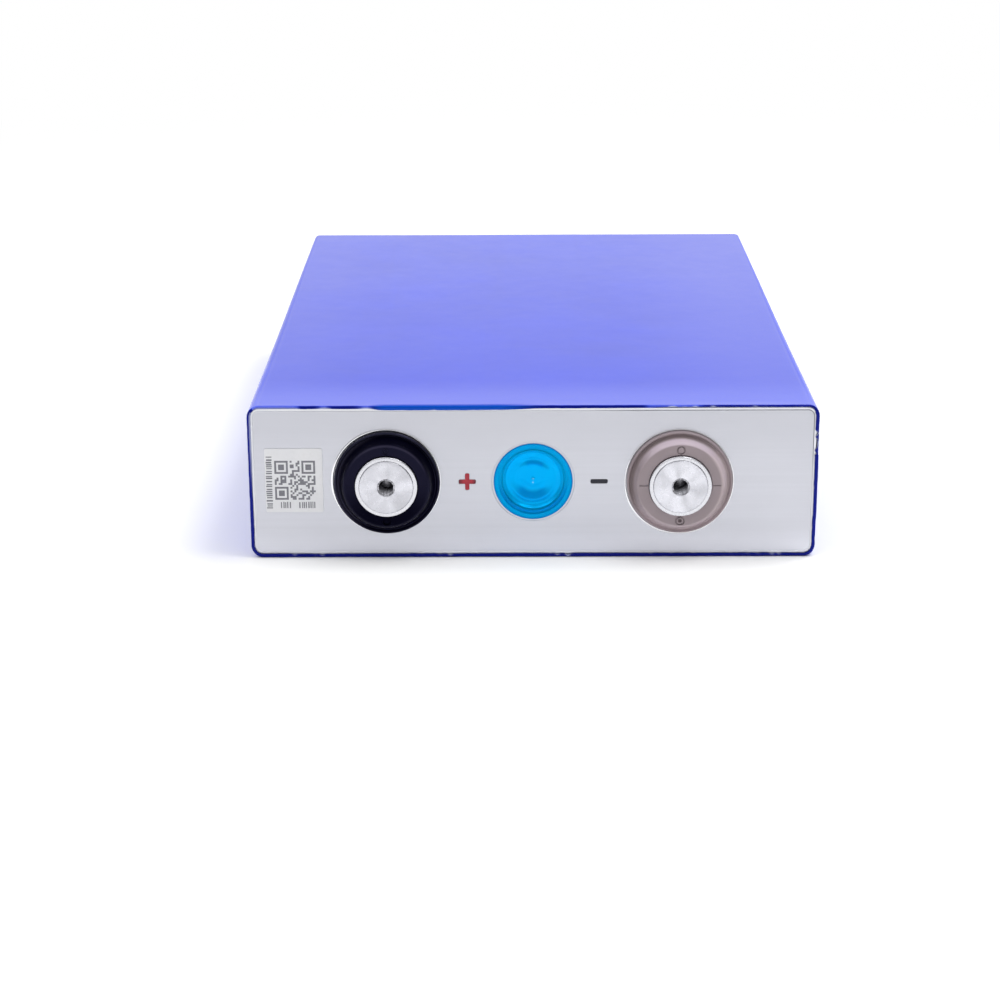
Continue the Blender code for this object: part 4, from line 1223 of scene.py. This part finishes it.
# ------------------------------------------------------------------ collars
COLLAR_PROFILE = [(6.20, 4.24), (7.10, 4.20), (7.10, 2.0), (9.0, 2.0), (9.0, 1.1), (6.20, 1.1)]
COLLAR_CORNERS = {0: 0.06, 1: 0.20, 2: 0.1, 3: 0.1, 4: 0.1, 5: 0.05}


def build_collar(name, node, x):
    collar = revolve(soften(COLLAR_PROFILE, COLLAR_CORNERS, True, 5), 192, x)
    add_piece(name, *collar, "collar_aluminium", (node,), angle=32)


build_collar("collar_positive", "positive_collar", POS_X)
build_collar("collar_negative", "negative_collar", NEG_X)

# ------------------------------------------------------------------ poles
THREAD_MINOR, THREAD_MAJOR, THREAD_PITCH = 1.68, 2.04, 0.7  # M4
HOLE_DEPTH = 5.5
STEM_R = 4.0


def thread_profile(face, floor):
    """Radius and height samples down the tapped hole."""
    depth = face - 0.05 - floor
    count = int(round(depth / 0.045))
    return [(THREAD_MINOR, face - 0.05 - k * depth / count) for k in range(count + 1)]


def threaded(face, floor):
    def shape(angle, radius, height):
        if abs(radius - THREAD_MINOR) > 1e-6:
            return radius, height
        turn = (height / THREAD_PITCH - angle / (2 * math.pi)) % 1.0
        ridge = ease(0.12, 0.88, abs(turn * 2 - 1))  # 0 at the root of the cut, 1 at the crest
        depth = (THREAD_MAJOR - THREAD_MINOR) * (1 - ridge)
        radius = THREAD_MINOR + depth * ease(floor, floor + 0.8, height)
        lead = ease(face - 0.20, face - 0.04, height)
        return radius + (2.03 - radius) * lead, height

    return shape


def pole_shades(verts, x, face, floor):
    """Painted shade down the tapped hole, darker at the thread roots, deeper down and on its
    upper side; darker streaks painted over the face in a reflection pattern, and painted shade
    low on the positive face.
    """
    bore, fan = [], []
    seed = 3.0 if x < 0 else 8.0
    for vert_x, vert_y, vert_z in verts:
        radius = math.hypot(vert_x - x, vert_z - MID_Z) / MM
        height = (LID_Y - vert_y) / MM
        angle = math.atan2(vert_x - x, vert_z - MID_Z)
        up, side = math.cos(angle), math.sin(angle)
        inside = radius < 2.1 and floor - 1.0 < height < face - 0.03
        root = (radius - THREAD_MINOR) / (THREAD_MAJOR - THREAD_MINOR)
        deep = ease(face - 0.1, face - 1.6, height)
        drawn = ease(0.02, 0.22, wobble(5.0 * up + seed, 5.0 * side, height * 0.25))
        # painted shade in the tapped hole
        shade = 0.02 + 0.36 * max(0.0, root) + 0.22 * deep + 0.22 * ease(-0.3, 0.8, up)
        shade += 0.34 * drawn
        if height < floor + 0.1:
            shade = 0.42
        bore.append(min(1.0, shade) if inside else 0.0)
        # darker streaks painted over the face in a reflection pattern; painted shade low on the
        # positive face
        streak = wobble(2.1 * up + seed, 2.1 * side, radius * 0.10)
        blotches = wobble(radius * up * 0.45 + seed, radius * side * 0.45, 5.0)
        darkening = 0.16 + 0.50 * ease(1.0, -5.6, radius * up) if x < 0 else 0.0
        darkening += 0.26 + 0.75 * streak + 0.45 * blotches
        fan.append(min(1.0, max(0.0, darkening)) if radius > 2.0 else 0.2)
    return {"bore": bore, "fan": fan}


def build_pole(name, node, x, foot, foot_r):
    """foot holds the points between the stem and the foot of radius foot_r."""
    lo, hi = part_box(node)
    face = (LID_Y - lo.y) / MM
    back = (LID_Y - hi.y) / MM
    floor = face - HOLE_DEPTH
    hole = [(2.12, face), (2.07, face - 0.015)] + thread_profile(face, floor)
    hole += [(THREAD_MINOR - 0.05, floor - 0.05), (0.9, floor - 0.35), (0.0, floor - 0.62)]
    outside = [(5.2, face), (6.155, face), (6.155, 1.6), (STEM_R, 1.6)]
    outside += foot + [(foot_r, back), (0.0, back)]
    outside = soften(outside, {1: 0.14, 2: 0.2, 3: 0.15, "all": 0.12}, False, 5)
    rings = [(radius, face) for radius in (2.35, 2.65, 3.0, 3.4, 3.8, 4.2, 4.6, 4.9)]
    profile = list(reversed(hole)) + rings + outside
    verts, faces = revolve(profile, 160, x, shape=threaded(face, floor))
    add_piece(name, verts, faces, "terminal_aluminium", (node,), angle=34,
              attributes=pole_shades(verts, x, face, floor))


build_pole("pole_positive", "positive_pole", POS_X, [(STEM_R, -4.0), (8.0, -4.0)], 8.0)
build_pole("pole_negative", "negative_pole_top", NEG_X, [], STEM_R)

# ------------------------------------------------------------------ vent
VENT_FILM_T = 0.07
VENT_FILM_STEPS = 144
VENT_FILM_RADII = [0.0, 0.35, 0.8, 1.4, 2.1, 2.9, 3.7, 4.5, 5.2, 5.8, 6.3, 6.7, 6.95, 7.15, 7.35,
                   7.6, 7.9, 8.3, 8.55, 8.7, 8.85, 9.0, 9.05]


def vent_film_height(radius, angle):
    """The film sags over the opening, with creases, and puckers round its edge."""
    side, up = math.sin(angle), math.cos(angle)
    sag = -0.10 * (1 - ease(6.3, 7.5, radius))
    bowl = -0.10 * max(0.0, 1 - (radius / 6.9) ** 2)
    crease = wobble(radius * side * 0.35 + 5, radius * up * 0.35, 1.0) * 0.045
    crease *= ease(8.6, 5.5, radius)
    pucker = 0.012 * math.sin(9 * angle + 0.7) * math.exp(-(((radius - 6.9) / 0.8) ** 2))
    seat = wobble(side * 2.2, up * 2.2, 8.0) * 0.012 * ease(7.4, 8.6, radius)
    return 0.035 + sag + bowl + crease + pucker + seat


def build_vent_film():
    steps = VENT_FILM_STEPS
    verts = [(VENT_X, LID_Y - vent_film_height(0, 0) * MM, MID_Z)]
    rows, rim = [[0]], [0.0]
    for radius in VENT_FILM_RADII[1:]:
        drop = 0.03 if radius > 9.02 else 0.0
        rows.append(list(range(len(verts), len(verts) + steps)))
        for k in range(steps):
            angle = 2 * math.pi * k / steps
            height = vent_film_height(radius, angle) - drop
            verts.append((VENT_X + radius * MM * math.sin(angle), LID_Y - height * MM,
                          MID_Z + radius * MM * math.cos(angle)))
            rim.append(ease(8.55, 8.85, radius))
    inner = len(verts)  # number of the first vertex of the inner sheet
    verts += [(x, y + VENT_FILM_T * MM, z) for x, y, z in verts]
    faces = []
    for first, turned in ((0, False), (inner, True)):
        for one, two in zip(rows[:-1], rows[1:]):
            for k in range(steps):
                n = (k + 1) % steps
                if len(one) == 1:
                    face = (one[0], two[k], two[n])
                else:
                    face = (one[k], two[k], two[n], one[n])
                face = tuple(i + first for i in face)
                faces.append(tuple(reversed(face)) if turned else face)
    edge = rows[-1]
    for k in range(steps):
        n = (k + 1) % steps
        faces.append((edge[k], edge[k] + inner, edge[n] + inner, edge[n]))
    add_piece("vent_cover", verts, faces, "vent_film_blue", ("vent_cover_film",), angle=40,
              attributes={"rim": rim + rim})


build_vent_film()

# (radius, height) over the front of the vent plate and back along its inner side
VENT_PLATE_PROFILE = [
    (0.0, -1.95), (0.14, -1.97), (0.26, -2.08), (0.36, -2.26), (0.46, -2.34), (0.8, -2.35),
    *[(1.2 + 0.2 * i, -2.35) for i in range(22)],
    (5.60, -2.30), (5.85, -2.22), (6.15, -2.22), (6.30, -2.16), (6.70, -1.52), (6.86, -1.40),
    (6.98, -1.42), (7.06, -1.56), (7.08, -2.28), (7.9, -2.34), (8.0, -2.42),
    (8.0, -2.72), (7.9, -2.80), (5.4, -2.84), (3.0, -2.84), (0.0, -2.84),
]


def pressed(angle, radius, height):
    """The thin web is pressed: a step under 12 o'clock and a wide scoop over 6 o'clock."""
    if height < -2.5:
        return radius, height
    cosine = {degrees: math.cos(math.radians(degrees)) for degrees in (14, 34, 56, 92)}
    high = ease(cosine[56], cosine[14], math.cos(angle - 0.12))
    low = ease(cosine[92], cosine[34], -math.cos(angle - 0.10))
    step = -0.32 * ease(3.35, 4.55, radius) * (1 - ease(4.65, 5.2, radius))
    scoop = -0.34 * ease(1.2, 2.6, radius) * (1 - ease(2.6, 5.2, radius))
    scoop += 0.34 * ease(2.6, 5.2, radius) * (1 - ease(5.25, 5.8, radius))
    ripple = 0.012 * math.sin(radius * 7.0) * ease(2.0, 4.0, radius)
    ripple *= 1 - ease(5.0, 5.6, radius)
    return radius, height + step * high + scoop * low + ripple


def vent_shade(x, y, z):
    """Painted shade, in blue, on the step, the scoop and the lower part of the bead."""
    if LID_Y - y <= -2.7 * MM:
        return 0.0
    from_x, from_z = (x - VENT_X) / MM, (z - MID_Z) / MM
    radius, clock = math.hypot(from_x, from_z), math.degrees(math.atan2(from_x, from_z))
    upper = ease(3.05, 3.5, radius) * ease(4.6, 4.0, radius) * ease(40.0, 22.0, abs(clock - 6.0))
    from_low = 180.0 - abs(clock - 4.0 if clock > -176.0 else clock + 356.0)
    lower = ease(2.7, 3.7, radius) * ease(5.9, 4.3, radius) * ease(66.0, 30.0, from_low)
    bead = ease(6.85, 7.0, radius) * ease(0.0, -0.7, from_z / max(radius, 0.1))
    return min(1.0, 0.72 * upper + 0.80 * lower + 0.85 * bead)


def build_vent_plate():
    verts, faces = revolve(VENT_PLATE_PROFILE, 160, VENT_X, shape=pressed)
    add_piece("vent_plate", verts, faces, "vent_aluminium", ("vent_disc",), angle=34,
              attributes={"shade": [vent_shade(*vert) for vert in verts]})


build_vent_plate()

# ------------------------------------------------------------------ label
LABEL_W, LABEL_H = (label_hi.x - label_lo.x) / MM, (label_hi.z - label_lo.z) / MM
LABEL_X = (label_lo.x + label_hi.x) / 2
LABEL_Z = (label_lo.z + label_hi.z) / 2 + 0.45 * MM
LABEL_CORNER, LABEL_T, LABEL_GAP = 0.35, 0.10, 0.05
LABEL_COLUMNS, LABEL_ROWS = 44, 50


def label_lift(across, up):
    """How far the sticker stands off: flat, with two corners that have begun to lift."""
    lift = 0.0
    for corner_x, corner_z, reach in ((0, 1, 1.6), (1, 0, 1.8)):
        away = math.hypot((across - corner_x) * LABEL_W, (up - corner_z) * LABEL_H)
        lift += 0.05 * ease(reach, 0.0, away)
    return lift + 0.004 * wobble(across * 9, up * 9, 3.0)


def label_layer(verts, thickness):
    """Adds one layer of the sticker and returns its rows of vertex numbers."""
    rows = []
    r = LABEL_CORNER
    for j in range(LABEL_ROWS + 1):
        row = []
        for i in range(LABEL_COLUMNS + 1):
            across, up = i / LABEL_COLUMNS, j / LABEL_ROWS
            x, z = (across - 0.5) * LABEL_W, (up - 0.5) * LABEL_H
            past_x, past_z = abs(x) - (LABEL_W / 2 - r), abs(z) - (LABEL_H / 2 - r)
            if past_x > 0 and past_z > 0:
                away = math.hypot(past_x, past_z)
                if away > r:
                    x = math.copysign(LABEL_W / 2 - r + past_x * r / away, x)
                    z = math.copysign(LABEL_H / 2 - r + past_z * r / away, z)
            height = LABEL_GAP + label_lift(across, up) + thickness
            row.append(len(verts))
            verts.append((LABEL_X + x * MM, LID_Y - height * MM, LABEL_Z + z * MM))
        rows.append(row)
    return rows


def build_sticker():
    verts, faces = [], []
    front, back = label_layer(verts, LABEL_T), label_layer(verts, 0.0)
    for rows, turned in ((front, False), (back, True)):
        for one, two in zip(rows[:-1], rows[1:]):
            for i in range(LABEL_COLUMNS):
                face = (one[i], one[i + 1], two[i + 1], two[i])
                faces.append(tuple(reversed(face)) if turned else face)
    edge = [(0, i) for i in range(LABEL_COLUMNS)]
    edge += [(j, LABEL_COLUMNS) for j in range(LABEL_ROWS)]
    edge += [(LABEL_ROWS, i) for i in range(LABEL_COLUMNS, 0, -1)]
    edge += [(j, 0) for j in range(LABEL_ROWS, 0, -1)]
    for (j0, i0), (j1, i1) in zip(edge, edge[1:] + edge[:1]):
        faces.append((front[j0][i0], back[j0][i0], back[j1][i1], front[j1][i1]))
    add_piece("sticker", verts, faces, "label_paper", ("data_label",), angle=40)


def code_cells(rng):
    """A made-up square code, its filled cells joined along each row: (x0, x1, z0, z1)."""
    count, size = 21, 0.445
    left, bottom = -4.40, -4.62
    grid = rng.random((count, count)) < 0.48
    for column, row in ((0, count - 7), (count - 7, count - 7), (0, 0)):  # corner squares
        for i in range(-1, 8):
            for j in range(-1, 8):
                if 0 <= column + i < count and 0 <= row + j < count:
                    grid[column + i, row + j] = max(abs(i - 3), abs(j - 3)) in (0, 1, 3)
    cells = []
    for j in range(count):
        i = 0
        while i < count:
            if grid[i, j]:
                k = i
                while k < count and grid[k, j]:
                    k += 1
                cells.append((left + i * size, left + k * size,
                              bottom + j * size, bottom + (j + 1) * size - 0.001))
                i = k
            else:
                i += 1
    return cells


def build_print():
    """A block of cells and plain bars, nothing that can be read."""
    rng = np.random.default_rng(20417)
    cells = code_cells(rng)
    z = -6.7
    while z < 5.6:  # a column of plain ticks
        thick = 0.22 + 0.16 * rng.random()
        start = -6.42 + 0.22 * rng.random()
        cells.append((start, -4.92 - 0.12 * rng.random(), z, z + thick))
        z += thick + rng.choice((0.16, 0.22, 0.42))
    for start, length in ((-3.15, 2.3), (1.05, 3.5)):  # two groups of plain bars
        x = start
        while x < start + length:
            thick = 0.17 + 0.14 * rng.random()
            cells.append((x, x + thick, -6.65, -5.25 + 0.14 * rng.random()))
            x += thick + rng.choice((0.15, 0.20, 0.34))
    verts, faces = [], []
    for x0, x1, z0, z1 in cells:
        b = len(verts)
        for height in (0.153, 0.168):
            for x, z in ((x0, z0), (x1, z0), (x1, z1), (x0, z1)):
                verts.append((LABEL_X + x * MM, LID_Y - height * MM, LABEL_Z + z * MM))
        faces += [(b, b + 3, b + 2, b + 1), (b + 4, b + 5, b + 6, b + 7)]
        for k in range(4):
            n = (k + 1) % 4
            faces.append((b + k, b + n, b + 4 + n, b + 4 + k))
    add_piece("sticker_print", verts, faces, "label_paper", material="print_ink")


build_sticker()
build_print()

# ------------------------------------------------------------------ carried-over nodes
NODE_SLOTS = {
    "can": "can_aluminium",
    "fill_cap": "collar_aluminium",
    "fill_plug": "plug_rubber",
    "negative_pole_base": "copper",
    "positive_seal": "seal_rubber",
    "negative_seal": "seal_rubber",
    "lower_insulator_positive": "insulator_plastic",
    "lower_insulator_negative": "insulator_plastic",
    "positive_collector": "can_aluminium",
    "negative_collector": "copper",
    "positive_tab_stack_a": "foil_aluminium",
    "positive_tab_stack_b": "foil_aluminium",
    "negative_tab_stack_a": "foil_copper",
    "negative_tab_stack_b": "foil_copper",
    "electrode_roll_a": "roll_coating",
    "electrode_roll_b": "roll_coating",
    "roll_bag": "bag_film",
    "base_spacer": "spacer_plastic",
}
for node, key in NODE_SLOTS.items():
    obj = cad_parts[node]
    if not obj.material_slots:
        obj.data.materials.append(MATERIALS[key])
    for held in obj.material_slots:
        held.material = MATERIALS[key]

# ------------------------------------------------------------------ floor
scene = bpy.context.scene


def floor_material():
    """Pale near the cell, fading to plain white light further out."""
    mat = Material("floor_pale")
    distance = mat.node("VectorMath", {"operation": "LENGTH"}, Vector=mat.coord)
    far = mat.rise(distance.outputs["Value"], 0.20, 0.62)
    cloth = mat.mix(mat.noise(scale=6.0, detail=2.0), (0.97, 0.97, 0.965), (0.95, 0.95, 0.945))
    pale = mat.principled(Base_Color=cloth, Roughness=0.75, Specular_IOR_Level=0.2)
    glow = mat.node("Emission", Color=(1, 1, 1), Strength=1.0)
    return mat.done(mat.blend(far, pale, glow))


def build_floor():
    mesh = bpy.data.meshes.new("floor")
    bm = bmesh.new()
    bmesh.ops.create_circle(bm, cap_ends=True, segments=96, radius=6.0)
    bm.to_mesh(mesh)
    bm.free()
    floor = bpy.data.objects.new("floor", mesh)
    floor.location = (0.0, 0.0, film_lo.z - 0.00002)
    scene.collection.objects.link(floor)
    mesh.materials.append(floor_material())


build_floor()

# ------------------------------------------------------------------ world


def build_world():
    """Bright behind the cell, softer at the sides, darkest behind the camera, bright overhead."""
    world = bpy.data.worlds.new("studio")
    scene.world = world
    world.use_nodes = True
    nodes, links = world.node_tree.nodes, world.node_tree.links
    nodes.clear()
    out = nodes.new("ShaderNodeOutputWorld")
    split = nodes.new("ShaderNodeSeparateXYZ")
    links.new(nodes.new("ShaderNodeTexCoord").outputs["Generated"], split.inputs[0])

    def span(value, *limits):
        made = nodes.new("ShaderNodeMapRange")
        made.interpolation_type = "SMOOTHSTEP"
        for key, number in zip(("From Min", "From Max", "To Min", "To Max"), limits):
            made.inputs[key].default_value = number
        links.new(value, made.inputs["Value"])
        return made.outputs[0]

    def math_node(operation, *values):
        made = nodes.new("ShaderNodeMath")
        made.operation = operation
        for value, socket in zip(values, made.inputs):
            links.new(value, socket)
        return made.outputs[0]

    def background(colour):
        made = nodes.new("ShaderNodeBackground")
        made.inputs["Color"].default_value = colour
        return made

    depthwise = span(split.outputs["Y"], -0.85, 0.45, 0.40, 1.0)
    sideways = span(math_node("ABSOLUTE", split.outputs["X"]), 0.45, 0.95, 1.0, 0.66)
    low_band = span(split.outputs["Z"], 0.17, 0.34, 1.0, 0.80)
    around = math_node("MULTIPLY", math_node("MULTIPLY", depthwise, sideways), low_band)
    level = nodes.new("ShaderNodeMix")
    level.data_type = "FLOAT"
    links.new(span(split.outputs["Z"], 0.38, 0.88, 0.0, 1.0), level.inputs[0])
    links.new(around, level.inputs[2])
    level.inputs[3].default_value = 1.05  # overhead
    studio = background((0.985, 0.99, 1.0, 1.0))
    links.new(level.outputs[0], studio.inputs["Strength"])
    white = background((1, 1, 1, 1))  # what the camera itself sees
    pick = nodes.new("ShaderNodeMixShader")
    camera_ray = nodes.new("ShaderNodeLightPath").outputs["Is Camera Ray"]
    for value, socket in zip((camera_ray, studio.outputs[0], white.outputs[0]), pick.inputs):
        links.new(value, socket)
    links.new(pick.outputs[0], out.inputs["Surface"])


build_world()

# ------------------------------------------------------------------ lights


def softbox(name, place, aim, size, energy):
    light = bpy.data.lights.new(name, "AREA")
    light.shape = "RECTANGLE"
    light.size, light.size_y = size
    light.energy = energy
    obj = bpy.data.objects.new(name, light)
    obj.location = place
    obj.rotation_mode = "QUATERNION"
    obj.rotation_quaternion = (Vector(aim) - Vector(place)).to_track_quat("-Z", "Y")
    scene.collection.objects.link(obj)
    obj.visible_camera = False


softbox("key_softbox", place=(-0.55, -0.20, 0.75), aim=(0.0, -0.05, 0.02), size=(0.7, 0.5),
        energy=1.7)
softbox("top_softbox", place=(0.30, -0.04, 0.78), aim=(0.0, -0.09, 0.02), size=(0.55, 0.30),
        energy=3.0)
softbox("rim_softbox", place=(0.65, 0.35, 0.55), aim=(0.0, 0.0, 0.02), size=(0.5, 0.5),
        energy=1.2)

# ------------------------------------------------------------------ camera
CAMERA_PLACE = (-0.00497728, -0.60001244, 0.17697397)
DOWNWARD, ROLL, YAW = 0.31304, -0.00434, -0.00523  # radians


def build_camera():
    data = bpy.data.cameras.new("camera")
    data.sensor_width = 36.0
    data.lens = 83.0910528
    data.clip_start, data.clip_end = 0.01, 50.0
    camera = bpy.data.objects.new("camera", data)
    forward = Vector((math.sin(YAW) * math.cos(DOWNWARD), math.cos(YAW) * math.cos(DOWNWARD),
                      -math.sin(DOWNWARD)))
    level = Vector((math.cos(YAW), -math.sin(YAW), 0.0))
    upright = level.cross(forward)
    right = math.cos(ROLL) * level + math.sin(ROLL) * upright
    up = -math.sin(ROLL) * level + math.cos(ROLL) * upright
    rows = [(*row, 1.0 * place) for *row, place in zip(right, up, -forward, CAMERA_PLACE)]
    camera.matrix_world = Matrix((*rows, (0, 0, 0, 1)))
    scene.collection.objects.link(camera)
    scene.camera = camera


build_camera()
scene.view_settings.view_transform = "Standard"
scene.view_settings.look = "None"

bpy.context.view_layer.update()
